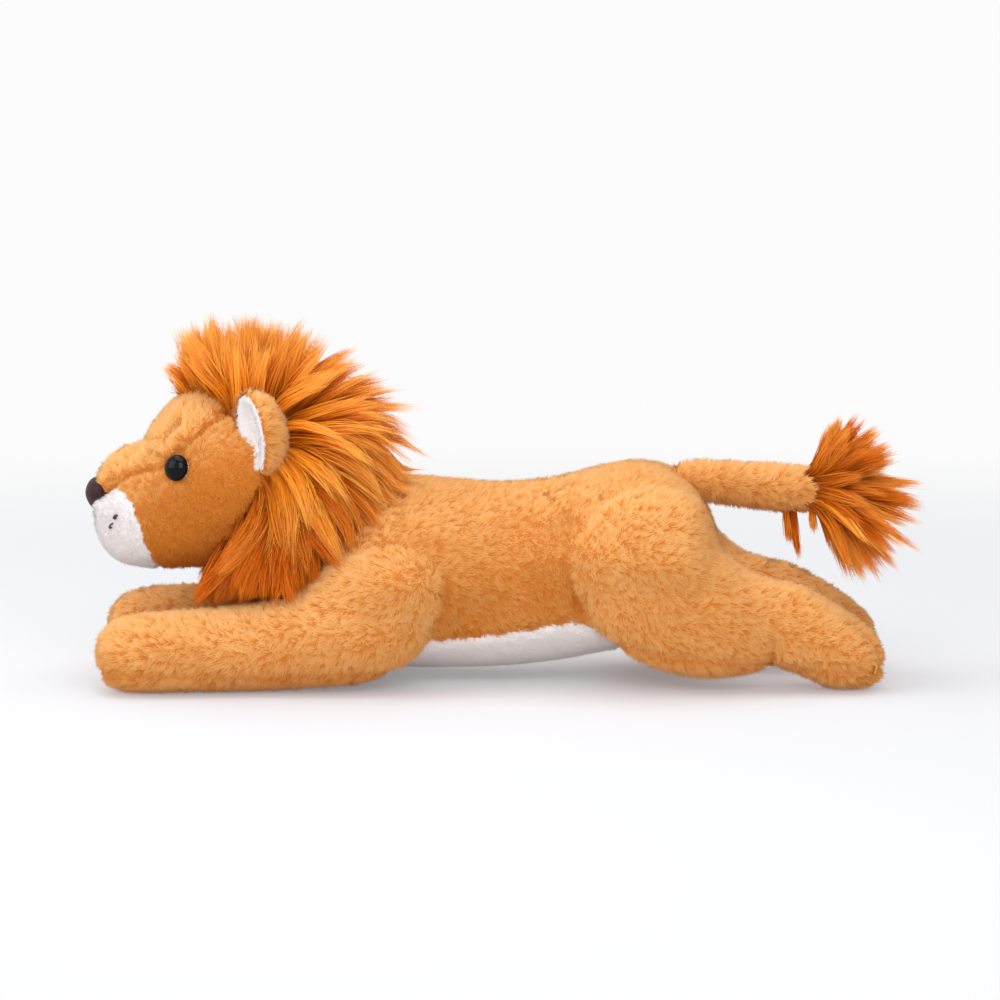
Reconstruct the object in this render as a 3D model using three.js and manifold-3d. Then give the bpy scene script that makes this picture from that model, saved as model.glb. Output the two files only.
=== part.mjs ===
// A stuffed toy lion lying on its belly, in millimetres. +Z is up, the nose points along -X and the tail
// along +X, and the lion's own left side faces -Y. The origin is on the ground, under the middle of its length.
// Every soft form is a plush shell, with the pile counted in its thickness, round a core of fibre.

import * as THREE from "three";
import { mergeVertices } from "three/addons/utils/BufferGeometryUtils.js";
import Module from "manifold-3d";

const wasm = await Module();
wasm.setup();

// Driving dimensions

const cloth = 4; // plush with its laid pile, as the wall of each shell
const liningCloth = 1.6; // short white plush
const gap = 0.3; // between pieces that touch
const swing = 0.7; // kept between a moving form and what it sweeps past
const pileSwing = 3.5; // the same, from long pile or from a form's coarser inner net
const overrun = 30; // how far a cutting shape runs past what it cuts
const merging = 1e-3; // vertices nearer than this are one
const flatDepth = 0.5; // the feet are pressed flat this deep
const halvings = 18; // of a range, to find a place in it
const feelShare = 0.001; // of a form's length, to feel which way its skin faces
const sliverShare = 0.01; // cuts can leave slivers, up to this share of a piece, which it sheds

const torso = {
  frontX: -92,
  length: 191,
  y: 0,
  baseZ: 4.5,
  height: 97.5,
  halfWidth: 46,
  detail: [20, 13],
  innerDetail: [12, 9],
};
const head = {
  reachPastNeck: 6, // the back of the head lies this far behind the neck's centre
  length: 117,
  y: 0,
  baseZ: 52,
  height: 88,
  halfWidth: 46,
  detail: [20, 16],
  innerDetail: [12, 9],
};
const foreleg = {
  shoulderInset: 58, // from the front of the chest back to the rear of the upper arm
  length: 160,
  y: 38,
  baseZ: -flatDepth,
  height: 63.5,
  halfWidth: 23,
  pivotInset: 28, // from the rear of the upper arm to the shoulder's axis
  pivotZ: 38,
  detail: [12, 12],
  innerDetail: [8, 9],
};
const hindleg = {
  hipInset: 67, // from the rump forward to the front of the thigh
  length: 143.5,
  y: 36,
  baseZ: -flatDepth,
  height: 87.5,
  halfWidth: 22.5,
  pivotInset: 36,
  pivotZ: 50,
  detail: [12, 13],
  innerDetail: [8, 10],
};
const tail = {
  rootInset: 28, // from the rump forward to the tail's sewn end
  length: 81,
  y: 0,
  baseZ: 78,
  height: 27,
  halfWidth: 12,
  pivotInset: 11,
  pivotZ: 93.5,
  hem: 8, // cut off the end of the form, which leaves the sleeve square
  detail: [10, 9],
  innerDetail: [8, 8],
};
const mane = {
  inset: 39, // from the nose's end of the head back to the foremost pile
  length: 109,
  y: 0,
  baseZ: 45,
  height: 112,
  halfWidth: 52,
  detail: [14, 9],
};
const neck = { inset: 6, z: 82, radius: 16 };
const tailRoot = { radius: 10.5 };

// Each row of a form is: along, top, bottom, half width and sideways shift, as shares of its length, height,
// height, half width and half width. The first and last rows are its poles.
const torsoShares = [
  [0, 0.487, 0.487, 0],
  [0.011, 0.64, 0.34, 0.3],
  [0.042, 0.77, 0.18, 0.61],
  [0.094, 0.88, 0.056, 0.83],
  [0.168, 0.94, 0.01, 0.935],
  [0.272, 0.95, 0, 0.978],
  [0.455, 0.923, 0.005, 0.957],
  [0.607, 0.949, 0.036, 0.946],
  [0.717, 0.988, 0.077, 0.978],
  [0.806, 1, 0.097, 1],
  [0.88, 0.955, 0.128, 0.967],
  [0.937, 0.85, 0.179, 0.848],
  [0.979, 0.69, 0.282, 0.565],
  [1, 0.467, 0.467, 0],
];
const headShares = [
  [0, 0.364, 0.364, 0],
  [0.015, 0.505, 0.205, 0.2],
  [0.056, 0.6, 0.097, 0.33],
  [0.12, 0.665, 0.034, 0.46],
  [0.19, 0.705, 0.011, 0.57],
  [0.25, 0.81, 0.003, 0.66],
  [0.325, 0.92, 0, 0.785],
  [0.41, 0.99, 0.006, 0.89],
  [0.513, 1.01, 0.011, 0.967],
  [0.632, 1, 0.017, 1],
  [0.761, 0.955, 0.034, 0.967],
  [0.872, 0.841, 0.091, 0.826],
  [0.949, 0.693, 0.182, 0.587],
  [0.987, 0.545, 0.307, 0.283],
  [1, 0.42, 0.42, 0],
];
const forelegShares = [
  [0, 0.306, 0.306, 0, 0.13],
  [0.011, 0.434, 0.167, 0.39, 0.13],
  [0.044, 0.534, 0.048, 0.7, 0.13],
  [0.113, 0.603, 0, 0.89, 0.13],
  [0.225, 0.628, 0, 0.935, 0.1],
  [0.369, 0.653, 0, 0.935, 0.05],
  [0.525, 0.702, 0.008, 0.957, 0],
  [0.663, 0.802, 0.032, 1, 0],
  [0.775, 0.921, 0.055, 1, 0],
  [0.875, 1, 0.137, 0.89, 0],
  [0.944, 0.95, 0.266, 0.7, 0],
  [0.984, 0.792, 0.434, 0.39, 0],
  [1, 0.638, 0.638, 0, 0],
];
const hindlegShares = [
  [0, 0.577, 0.577, 0, 0.09],
  [0.014, 0.712, 0.44, 0.4, 0.09],
  [0.056, 0.841, 0.32, 0.667, 0.09],
  [0.125, 0.943, 0.222, 0.867, 0.09],
  [0.223, 1, 0.131, 0.98, 0.09],
  [0.334, 0.966, 0.08, 1, 0.09],
  [0.432, 0.831, 0.063, 0.98, 0.05],
  [0.53, 0.682, 0.08, 0.89, -0.02],
  [0.62, 0.622, 0.13, 0.8, -0.09],
  [0.711, 0.588, 0.075, 0.84, -0.13],
  [0.822, 0.492, 0, 0.91, -0.16],
  [0.913, 0.393, 0, 0.84, -0.16],
  [0.969, 0.314, 0.035, 0.62, -0.16],
  [0.994, 0.234, 0.085, 0.31, -0.16],
  [1, 0.16, 0.16, 0, -0.16],
];
const tailShares = [
  [0, 0.555, 0.555, 0],
  [0.018, 0.74, 0.37, 0.5],
  [0.072, 0.92, 0.24, 0.79],
  [0.2, 1, 0.2, 0.92],
  [0.42, 0.98, 0.11, 1],
  [0.66, 0.95, 0.018, 1],
  [0.86, 0.89, 0, 0.97],
  [0.95, 0.86, 0.01, 0.95],
  [0.99, 0.7, 0.14, 0.66],
  [1, 0.42, 0.42, 0],
];
const maneShares = [
  [0, 0.6, 0.6, 0],
  [0.02, 0.8, 0.35, 0.3],
  [0.09, 0.94, 0.08, 0.7],
  [0.21, 0.99, 0.01, 0.92],
  [0.38, 1, 0, 1],
  [0.56, 0.96, 0.04, 1],
  [0.73, 0.87, 0.11, 0.93],
  [0.87, 0.74, 0.2, 0.76],
  [0.96, 0.6, 0.3, 0.48],
  [1, 0.45, 0.45, 0],
];

// How far things move each way, in degrees.
const headTurn = 10;
const headRaise = 8;
const headDip = 5;
const earFold = 15;
const forelegDrop = 25;
const forelegLift = 3;
const hindlegDrop = 20;
const hindlegLift = 2;
const tailLift = 30;
const tailDrop = 3;
const tailSwing = 20;
const legAngles = 3; // how many angles of a range a neighbour is cut clear of
const tailAngles = 4;

const sides = { left: -1, right: 1 };
const xAxis = new THREE.Vector3(1, 0, 0);
const yAxis = new THREE.Vector3(0, 1, 0);
const zAxis = new THREE.Vector3(0, 0, 1);

// Places that follow from the sizes

const rumpX = torso.frontX + torso.length;
const neckCentre = new THREE.Vector3(torso.frontX + neck.inset, torso.y, neck.z);
head.frontX = neckCentre.x + head.reachPastNeck - head.length;
mane.frontX = head.frontX + mane.inset;
foreleg.frontX = torso.frontX + foreleg.shoulderInset - foreleg.length;
hindleg.frontX = rumpX - hindleg.hipInset;
tail.frontX = rumpX - tail.rootInset;
const tailEndX = tail.frontX + tail.length - tail.hem;
const tailCentre = new THREE.Vector3(tail.frontX + tail.pivotInset, tail.y, tail.pivotZ);

// Solids

// A closed three.js geometry as a solid that can be joined and cut.
function solid(geometry) {
  const bare = geometry.clone();
  bare.deleteAttribute("normal");
  bare.deleteAttribute("uv");
  const merged = mergeVertices(bare, merging);
  return new wasm.Manifold(
    new wasm.Mesh({
      numProp: 3,
      vertProperties: merged.attributes.position.array,
      triVerts: new Uint32Array(merged.index.array),
    }),
  );
}

const joined = (solids) => solids.reduce((all, one) => all.add(one));
const without = (from, ...cuts) => cuts.reduce((left, cut) => left.subtract(cut), from);

// The two curves that a form's rows run along: top and bottom, and the middle and half width.
function curvesOf(form, shares, side = 0) {
  const x = (along) => form.frontX + along * form.length;
  const outline = shares.map(
    ([along, top, bottom]) =>
      new THREE.Vector3(x(along), form.baseZ + top * form.height, form.baseZ + bottom * form.height),
  );
  const girth = shares.map(
    ([along, , , half, shift = 0]) =>
      new THREE.Vector3(x(along), side * (form.y + shift * form.halfWidth), half * form.halfWidth),
  );
  return {
    outline: new THREE.CatmullRomCurve3(outline, false, "catmullrom"),
    girth: new THREE.CatmullRomCurve3(girth, false, "catmullrom"),
    detail: form.detail,
    innerDetail: form.innerDetail,
    reach: form.length,
  };
}

// A point of a form's skin: t runs from its front pole to its rear one, and (across, up) is a unit direction.
function onSkin(curves, t, across, up) {
  const outline = curves.outline.getPoint(t);
  const girth = curves.girth.getPoint(t);
  const middle = (outline.y + outline.z) / 2;
  const half = Math.max(0, (outline.y - outline.z) / 2);
  return new THREE.Vector3(outline.x, girth.y + across * Math.max(0, girth.z), middle + up * half);
}

// A stuffed form: a sphere drawn out along the curves, with its skin moved out by grow.
function stuffed(curves, grow = 0, detail = grow < 0 ? curves.innerDetail : curves.detail) {
  const ball = new THREE.SphereGeometry(1, ...detail);
  const place = ball.attributes.position;
  for (let i = 0; i < place.count; i++) {
    const polar = Math.acos(THREE.MathUtils.clamp(place.getY(i), -1, 1));
    const ring = Math.sin(polar);
    const atPole = ring < merging;
    const across = atPole ? 0 : place.getX(i) / ring;
    const up = atPole ? 0 : place.getZ(i) / ring;
    const point = onSkin(curves, polar / Math.PI, across, up);
    place.setXYZ(i, point.x, point.y, point.z);
  }
  ball.deleteAttribute("normal");
  ball.deleteAttribute("uv");
  const skin = mergeVertices(ball, merging);
  skin.computeVertexNormals();
  const normal = skin.attributes.normal;
  const moved = skin.attributes.position;
  for (let i = 0; i < moved.count; i++) {
    moved.setXYZ(
      i,
      moved.getX(i) + grow * normal.getX(i),
      moved.getY(i) + grow * normal.getY(i),
      moved.getZ(i) + grow * normal.getZ(i),
    );
  }
  return skin;
}

// How far past a form's skin a point lies, in half widths: under 0 is inside.
function pastSkin(curves, point) {
  let low = 0;
  let high = 1;
  for (let i = 0; i < halvings; i++) {
    const middle = (low + high) / 2;
    if (curves.outline.getPoint(middle).x < point.x) low = middle;
    else high = middle;
  }
  const outline = curves.outline.getPoint(low);
  const girth = curves.girth.getPoint(low);
  const across = (point.y - girth.y) / Math.max(girth.z, merging);
  const up = (point.z - (outline.y + outline.z) / 2) / Math.max((outline.y - outline.z) / 2, merging);
  return Math.hypot(across, up) - 1;
}

// The place where a line from inside a form comes out, and which way its skin faces there.
function skinAt(curves, from, way) {
  const feel = curves.reach * feelShare;
  let low = 0;
  let high = curves.reach;
  for (let i = 0; i < halvings; i++) {
    const middle = (low + high) / 2;
    if (pastSkin(curves, from.clone().addScaledVector(way, middle)) < 0) low = middle;
    else high = middle;
  }
  const place = from.clone().addScaledVector(way, low);
  const slope = (axis) =>
    pastSkin(curves, place.clone().addScaledVector(axis, feel)) -
    pastSkin(curves, place.clone().addScaledVector(axis, -feel));
  const normal = new THREE.Vector3(slope(xAxis), slope(yAxis), slope(zAxis)).normalize();
  return { place, normal };
}

// The matrix that turns things about an axis through a point.
function turnAbout(centre, axis, degrees) {
  const back = new THREE.Matrix4().makeTranslation(-centre.x, -centre.y, -centre.z);
  const turn = new THREE.Matrix4().makeRotationAxis(axis, THREE.MathUtils.degToRad(degrees));
  const there = new THREE.Matrix4().makeTranslation(centre.x, centre.y, centre.z);
  return there.multiply(turn).multiply(back);
}

// What a form sweeps out, as seen from a neighbour that turns about a centre by each pair of angles.
function swept(geometry, centre, turns) {
  return joined(
    turns.map(([axis, degrees, secondAxis, secondDegrees]) => {
      const copy = geometry.clone().applyMatrix4(turnAbout(centre, axis, -degrees));
      if (secondAxis) copy.applyMatrix4(turnAbout(centre, secondAxis, -secondDegrees));
      return solid(copy);
    }),
  );
}

// A prism across the whole toy, from an outline in the XZ plane.
function prism(points, halfDepth) {
  const outline = new THREE.Shape(points.map(([x, z]) => new THREE.Vector2(x, z)));
  const bar = new THREE.ExtrudeGeometry(outline, { depth: 2 * halfDepth, bevelEnabled: false });
  bar.rotateX(Math.PI / 2);
  return solid(bar.translate(0, halfDepth, 0));
}

function box(lowX, highX, lowY, highY, lowZ, highZ) {
  const block = new THREE.BoxGeometry(highX - lowX, highY - lowY, highZ - lowZ);
  return solid(block.translate((lowX + highX) / 2, (lowY + highY) / 2, (lowZ + highZ) / 2));
}

// Everything under a seam along a form, whose points are shares of its length and height.
function under(form, seamShares, rise) {
  const seam = seamShares.map(([along, up]) => [
    form.frontX + along * form.length,
    form.baseZ + up * form.height + rise,
  ]);
  const first = seam[0][0] - rise;
  const last = seam.at(-1)[0] + rise;
  return prism([[first, -overrun], ...seam, [last, -overrun]], halfDepth);
}

const halfDepth = torso.halfWidth + head.halfWidth;
const highZ = torso.baseZ + torso.height + head.height;
const farX = torso.length + foreleg.length;
const ground = box(-farX, farX, -halfDepth, halfDepth, -overrun, 0);
const beside = (side, edge) =>
  box(-farX, farX, side < 0 ? -halfDepth : edge, side < 0 ? -edge : halfDepth, -overrun, highZ);

// Materials

const finish = (color, roughness = 1, metalness = 0) =>
  new THREE.MeshStandardMaterial({ color, roughness, metalness });
const tanPlush = finish(0xd59a58);
const whitePlush = finish(0xf0e9e7);
const longPile = finish(0xd3701d);
const brownVelour = finish(0x3c2727, 0.8);
const blackPlastic = finish(0x0b0b0d, 0.1);
const naturalPlastic = finish(0xe9e6dc, 0.4);
const darkThread = finish(0x4a4144, 0.9);
const tanThread = finish(0x9c6a3a, 0.9);
const fibre = finish(0xf4f2ec);

const lion = new THREE.Group();

// Adds a solid to the toy as one named piece.
function piece(name, made, material) {
  const kept = made.decompose().filter((body) => body.volume() > sliverShare * made.volume());
  const mesh = joined(kept).getMesh();
  const geometry = new THREE.BufferGeometry();
  geometry.setAttribute("position", new THREE.Float32BufferAttribute(mesh.vertProperties, 3));
  geometry.setIndex(new THREE.BufferAttribute(mesh.triVerts, 1));
  geometry.computeVertexNormals();
  const part = new THREE.Mesh(geometry, material);
  part.name = name;
  lion.add(part);
}

const torsoCurves = curvesOf(torso, torsoShares, 1);
const headCurves = curvesOf(head, headShares, 1);
const tailCurves = curvesOf(tail, tailShares, 1);

// A soft ball that a joint turns about, and the socket whose flats clear its corners all round.
const ballSides = 14;
const ballRings = 10;
const flatness = Math.cos(Math.PI / ballSides) * Math.cos(Math.PI / (2 * ballRings));
const ballAt = (centre, radius) => {
  const ball = new THREE.SphereGeometry(radius, ballSides, ballRings);
  return solid(ball.translate(centre.x, centre.y, centre.z));
};
const socketAt = (centre, radius) => ballAt(centre, (radius + gap / 2) / flatness);

// Torso: two side panels, sewn along the back, a white belly panel, and the fibre inside

const bellySeamShares = [
  [0.1, 0.05],
  [0.15, 0.16],
  [0.28, 0.19],
  [0.42, 0.217],
  [0.54, 0.25],
  [0.615, 0.288],
  [0.69, 0.25],
  [0.76, 0.08],
]; // along the torso's length, and up its height

const neckSocket = socketAt(neckCentre, neck.radius);
const tailSocket = socketAt(tailCentre, tailRoot.radius);
const torsoWall = without(
  solid(stuffed(torsoCurves)),
  solid(stuffed(torsoCurves, -cloth)),
  neckSocket,
  tailSocket,
);
const torsoSides = torsoWall.subtract(under(torso, bellySeamShares, gap));
for (const [name, side] of Object.entries(sides)) {
  piece("side_panel_" + name, torsoSides.intersect(beside(side, gap / 2)), tanPlush);
}
piece("belly_panel", torsoWall.intersect(under(torso, bellySeamShares, 0)), whitePlush);
const torsoCore = without(solid(stuffed(torsoCurves, -cloth - gap)), neckSocket, tailSocket);
piece("torso_filling", torsoCore, fibre);

// Neck: the loose fibre between torso and head that lets the head turn and nod

piece("neck_filling", ballAt(neckCentre, neck.radius), fibre);

// Forelegs: an upper and an under panel each, round the fibre, cut where they meet the torso

const underChin = []; // the forelegs at their highest, as the head's pile has to clear them
const torsoToClear = stuffed(torsoCurves, swing);
const torsoRoughly = stuffed(torsoCurves, pileSwing, torsoCurves.innerDetail);
const forelegSeamShares = [
  [-0.1, 0.206],
  [0.1, 0.177],
  [0.5, 0.167],
  [1.1, 0.206],
];
const hindlegSeamShares = [
  [-0.1, 0.384],
  [0.07, 0.304],
  [0.3, 0.219],
  [0.66, 0.155],
  [0.85, 0.135],
  [1.1, 0.135],
];

const steps = (low, high, count) =>
  Array.from({ length: count }, (_, i) => low + ((high - low) * i) / (count - 1));

// A leg's shell and core, clear of the torso at each angle that the leg swings to.
function leg(curves, pivot, axis, angles) {
  const swings = angles.map((degrees) => [axis, degrees]);
  const skin = solid(stuffed(curves));
  const wall = without(skin, solid(stuffed(curves, -cloth)), swept(torsoToClear, pivot, swings), ground);
  const core = without(solid(stuffed(curves, -cloth - gap)), swept(torsoRoughly, pivot, swings), ground);
  return { wall, core };
}

for (const [name, side] of Object.entries(sides)) {
  const curves = curvesOf(foreleg, forelegShares, side);
  const pivotX = foreleg.frontX + foreleg.length - foreleg.pivotInset;
  const pivot = new THREE.Vector3(pivotX, side * foreleg.y, foreleg.pivotZ);
  const angles = steps(-forelegDrop, forelegLift, legAngles);
  const { wall, core } = leg(curves, pivot, yAxis, angles);
  const prefix = "foreleg_" + name;
  piece(prefix + "_upper_panel", wall.subtract(under(foreleg, forelegSeamShares, gap)), tanPlush);
  piece(prefix + "_under_panel", wall.intersect(under(foreleg, forelegSeamShares, 0)), tanPlush);
  piece(prefix + "_filling", core, fibre);
  const lifted = stuffed(curves, pileSwing, curves.innerDetail);
  lifted.applyMatrix4(turnAbout(pivot, yAxis, forelegLift));
  underChin.push(lifted);
}

// Hind legs, made like the forelegs, with two threads that pinch each foot into toes

const toe = {
  spacing: 11, // between the two threads
  threadRadius: 0.7,
  tipInset: 13, // the threads fan out from this far inside the foot's tip
  centreZ: 17,
  highest: 85, // degrees, where the thread starts over the foot
  lowest: -48,
  points: 6,
  threadSides: 5,
};

// A thread that lies in the skin of the foot, from over its tip to under it.
function toeThread(curves, offset, grow) {
  const tip = curves.girth.getPoint(1);
  const start = new THREE.Vector3(tip.x - toe.tipInset, tip.y + offset, toe.centreZ);
  const route = steps(toe.highest, toe.lowest, toe.points).map((degrees) => {
    const angle = THREE.MathUtils.degToRad(degrees);
    return skinAt(curves, start, new THREE.Vector3(Math.cos(angle), 0, Math.sin(angle))).place;
  });
  const section = new THREE.Shape();
  section.absarc(0, 0, toe.threadRadius + grow, 0, 2 * Math.PI);
  const thread = new THREE.ExtrudeGeometry(section, {
    steps: toe.points,
    curveSegments: toe.threadSides,
    extrudePath: new THREE.CatmullRomCurve3(route),
    bevelEnabled: false,
  });
  return solid(thread);
}

for (const [name, side] of Object.entries(sides)) {
  const curves = curvesOf(hindleg, hindlegShares, side);
  const pivotX = hindleg.frontX + hindleg.pivotInset;
  const pivot = new THREE.Vector3(pivotX, side * hindleg.y, hindleg.pivotZ);
  const angles = steps(-hindlegDrop, hindlegLift, legAngles);
  const { wall, core } = leg(curves, pivot, yAxis.clone().negate(), angles);
  const offsets = [toe.spacing / 2, -toe.spacing / 2].map((offset) => side * offset);
  const pinched = without(wall, ...offsets.map((offset) => toeThread(curves, offset, gap)));
  const prefix = "hindleg_" + name;
  piece(prefix + "_outer_panel", pinched.subtract(under(hindleg, hindlegSeamShares, gap)), tanPlush);
  piece(prefix + "_inner_panel", pinched.intersect(under(hindleg, hindlegSeamShares, 0)), tanPlush);
  piece(prefix + "_filling", core, fibre);
  offsets.forEach((offset, i) =>
    piece(`${prefix}_toe_thread_${i + 1}`, toeThread(curves, offset, 0), tanThread),
  );
}

// Head: gusset, two cheeks, white muzzle, nose, eyes with lock washers, and the fibre inside

const gussetSeamShares = [
  [-0.02, 0.41],
  [0.053, 0.428],
  [0.105, 0.477],
  [0.173, 0.528],
  [0.3, 0.577],
  [0.4, 0.71],
  [0.48, 0.807],
  [0.58, 0.892],
  [0.7, 0.955],
]; // along the head's length, and up its height
const muzzleSeamShares = [
  [0.105, 0.473],
  [0.155, 0.43],
  [0.178, 0.386],
  [0.205, 0.295],
  [0.222, 0.187],
  [0.25, 0.1],
  [0.275, 0.045],
  [0.29, -0.05],
];
const maneLineShares = [
  [0.39, 1.1],
  [0.42, 1],
  [0.58, 0.95],
  [0.71, 0.72],
  [0.71, 0.49],
  [0.6, 0.25],
  [0.48, 0.045],
  [0.43, -0.1],
];

const onHead = ([along, up]) => [head.frontX + along * head.length, head.baseZ + up * head.height];

function gussetRegion(rise) {
  const seam = gussetSeamShares.map(onHead).map(([x, z]) => [x, z + rise]);
  const last = seam.at(-1)[0];
  const firstX = seam[0][0] - overrun;
  const top = [
    [last + overrun, highZ],
    [firstX, highZ],
  ];
  return prism([[firstX, seam[0][1]], ...seam, ...top], halfDepth);
}

function muzzleRegion(grow) {
  const top = gussetSeamShares
    .slice(0, 3)
    .map(onHead)
    .map(([x, z]) => [x, z - gap + grow]);
  const back = muzzleSeamShares
    .slice(1)
    .map(onHead)
    .map(([x, z]) => [x + grow, z]);
  const start = [top[0][0] - overrun, top[0][1]];
  return prism([start, ...top, ...back, [back.at(-1)[0], -overrun], [start[0], -overrun]], halfDepth);
}

// Everything behind the line where the long pile begins.
function behindFace(shift) {
  const line = maneLineShares.map(onHead).map(([x, z]) => [x + shift, z]);
  const behind = [
    [farX, line.at(-1)[1] - overrun],
    [farX, highZ],
    [line[0][0], highZ],
  ];
  return prism([...line, ...behind], halfDepth);
}

const headTurns = [-headDip, headRaise].flatMap((nod) =>
  [-headTurn, headTurn].map((turn) => [zAxis, turn, yAxis, nod]),
);
const torsoSweep = swept(torsoRoughly, neckCentre, headTurns);

const headWall = without(
  solid(stuffed(headCurves)),
  solid(stuffed(headCurves, -cloth)),
  torsoSweep,
  neckSocket,
);
const headCore = without(solid(stuffed(headCurves, -cloth - gap)), torsoSweep, neckSocket);

// The place on the head's skin at a share of its length and height, on one side, and which way it faces.
function onHeadSkin(shares, side) {
  const [x, z] = onHead(shares);
  return skinAt(headCurves, new THREE.Vector3(x, head.y, z), yAxis.clone().multiplyScalar(side));
}

// Eyes: a moulded dome and shank in one, held by a washer pressed on from inside
const eye = {
  placeShares: [0.35, 0.605],
  radius: 6,
  dome: 4.2,
  rim: 0.8,
  sunk: 2.4,
  shankRadius: 1.6,
  shankLength: 15,
  sidesRound: 12,
  arcPoints: 6,
};
const washer = { radius: 5.5, thickness: 1.4, behindSkin: 0.5 };

function turned(profile, sidesRound) {
  return new THREE.LatheGeometry(
    profile.map(([radius, height]) => new THREE.Vector2(radius, height)),
    sidesRound,
  );
}

// Sets a piece that was made standing on the origin on the head's skin.
function seated(geometry, { place, normal }) {
  const turn = new THREE.Quaternion().setFromUnitVectors(yAxis, normal);
  return solid(geometry.applyQuaternion(turn).translate(place.x, place.y, place.z));
}

const domeArc = steps(0, Math.PI / 2, eye.arcPoints).map((angle) => [
  eye.radius * Math.cos(angle),
  eye.rim + eye.dome * Math.sin(angle) - eye.sunk,
]);
domeArc.at(-1)[0] = 0;
const eyeProfile = [
  [0, -eye.sunk - eye.shankLength],
  [eye.shankRadius, -eye.sunk - eye.shankLength],
  [eye.shankRadius, -eye.sunk],
  [eye.radius, -eye.sunk],
  ...domeArc,
];
const washerTop = -cloth - washer.behindSkin;
const washerProfile = [
  [eye.shankRadius + gap, washerTop],
  [eye.shankRadius + gap, washerTop - washer.thickness],
  [washer.radius, washerTop - washer.thickness],
  [washer.radius, washerTop],
  [eye.shankRadius + gap, washerTop],
];
const eyeSeat = [
  [0, -eye.sunk - eye.shankLength - gap],
  [eye.shankRadius + gap, -eye.sunk - eye.shankLength - gap],
  [eye.shankRadius + gap, -eye.sunk - gap],
  [eye.radius + gap, -eye.sunk - gap],
  [eye.radius + gap, eye.dome],
  [0, eye.dome],
];
const washerSeat = [
  [0, washerTop - washer.thickness - gap],
  [washer.radius + gap, washerTop - washer.thickness - gap],
  [washer.radius + gap, -cloth + gap],
  [0, -cloth + gap],
];

let face = headWall.subtract(behindFace(-gap));
let core = headCore;
for (const [name, side] of Object.entries(sides)) {
  const skin = onHeadSkin(eye.placeShares, side);
  piece("eye_" + name, seated(turned(eyeProfile, eye.sidesRound), skin), blackPlastic);
  piece("eye_washer_" + name, seated(turned(washerProfile, eye.sidesRound), skin), naturalPlastic);
  const seats = [eyeSeat, washerSeat].map((profile) => seated(turned(profile, eye.sidesRound), skin));
  face = without(face, ...seats);
  core = without(core, ...seats);
}

// Nose: a small padded patch of velour, wide above and pointed below
const nose = {
  halfLength: 7.5,
  halfWidth: 10,
  halfHeight: 8,
  centreShare: 0.4,
  proud: 2.5, // of the head's foremost point
  pinch: 0.5, // how much it narrows to its point below
  detail: [14, 9],
};

function noseForm(grow) {
  const ball = new THREE.SphereGeometry(1, ...nose.detail);
  const place = ball.attributes.position;
  for (let i = 0; i < place.count; i++) {
    const up = place.getZ(i);
    const narrow = 1 - nose.pinch * Math.max(0, -up);
    place.setXYZ(
      i,
      place.getX(i) * (nose.halfLength + grow) + head.frontX - nose.proud + nose.halfLength,
      place.getY(i) * (nose.halfWidth + grow) * narrow,
      up * (nose.halfHeight + grow) + head.baseZ + nose.centreShare * head.height,
    );
  }
  return solid(ball);
}
piece("nose", noseForm(0).subtract(solid(stuffed(headCurves, gap))), brownVelour);

piece("head_gusset", face.intersect(gussetRegion(0)), tanPlush);
piece("muzzle_panel", face.intersect(muzzleRegion(0)), whitePlush);
const cheeks = without(face, gussetRegion(-gap), muzzleRegion(gap));
for (const [name, side] of Object.entries(sides)) {
  piece("cheek_panel_" + name, cheeks.intersect(beside(side, gap / 2)), tanPlush);
}
piece("head_filling", core, fibre);

// Whisker dots: two thread knots on each side of the muzzle
const whisker = {
  placesShares: [
    [0.103, 0.307],
    [0.079, 0.236],
  ],
  radius: 0.9,
  detail: [6, 5],
};
for (const [name, side] of Object.entries(sides)) {
  whisker.placesShares.forEach((places, index) => {
    const knot = new THREE.SphereGeometry(whisker.radius, ...whisker.detail);
    knot.translate(0, whisker.radius + gap, 0);
    piece(`whisker_knot_${name}_${index + 1}`, seated(knot, onHeadSkin(places, side)), darkThread);
  });
}

// Ears: a cupped tan back with a white lining, sewn to the side of the head and open to the front
const ear = {
  placeShares: [0.69, 0.8],
  out: 7,
  depth: 14,
  halfWidth: 15,
  halfHeight: 21,
  openAngle: 28, // that the opening faces outwards from straight ahead
  rimForward: 5,
  back: 3.2,
  pivotIn: 5, // the fold lies this far inside the ear's middle
  detail: [12, 9],
};

function earShape(centre, side, grow) {
  const ball = new THREE.SphereGeometry(1, ...ear.detail);
  ball.scale(ear.depth + grow, ear.halfWidth + grow, ear.halfHeight + grow);
  ball.rotateZ(-side * THREE.MathUtils.degToRad(ear.openAngle));
  return ball.translate(centre.x, centre.y, centre.z);
}

function earOpening(centre, side, setBack) {
  const reach = ear.halfHeight + overrun;
  const block = new THREE.BoxGeometry(reach, 2 * reach, 2 * reach);
  block.translate(-reach / 2 - ear.rimForward + setBack, 0, 0);
  block.rotateZ(-side * THREE.MathUtils.degToRad(ear.openAngle));
  return solid(block.translate(centre.x, centre.y, centre.z));
}

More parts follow.
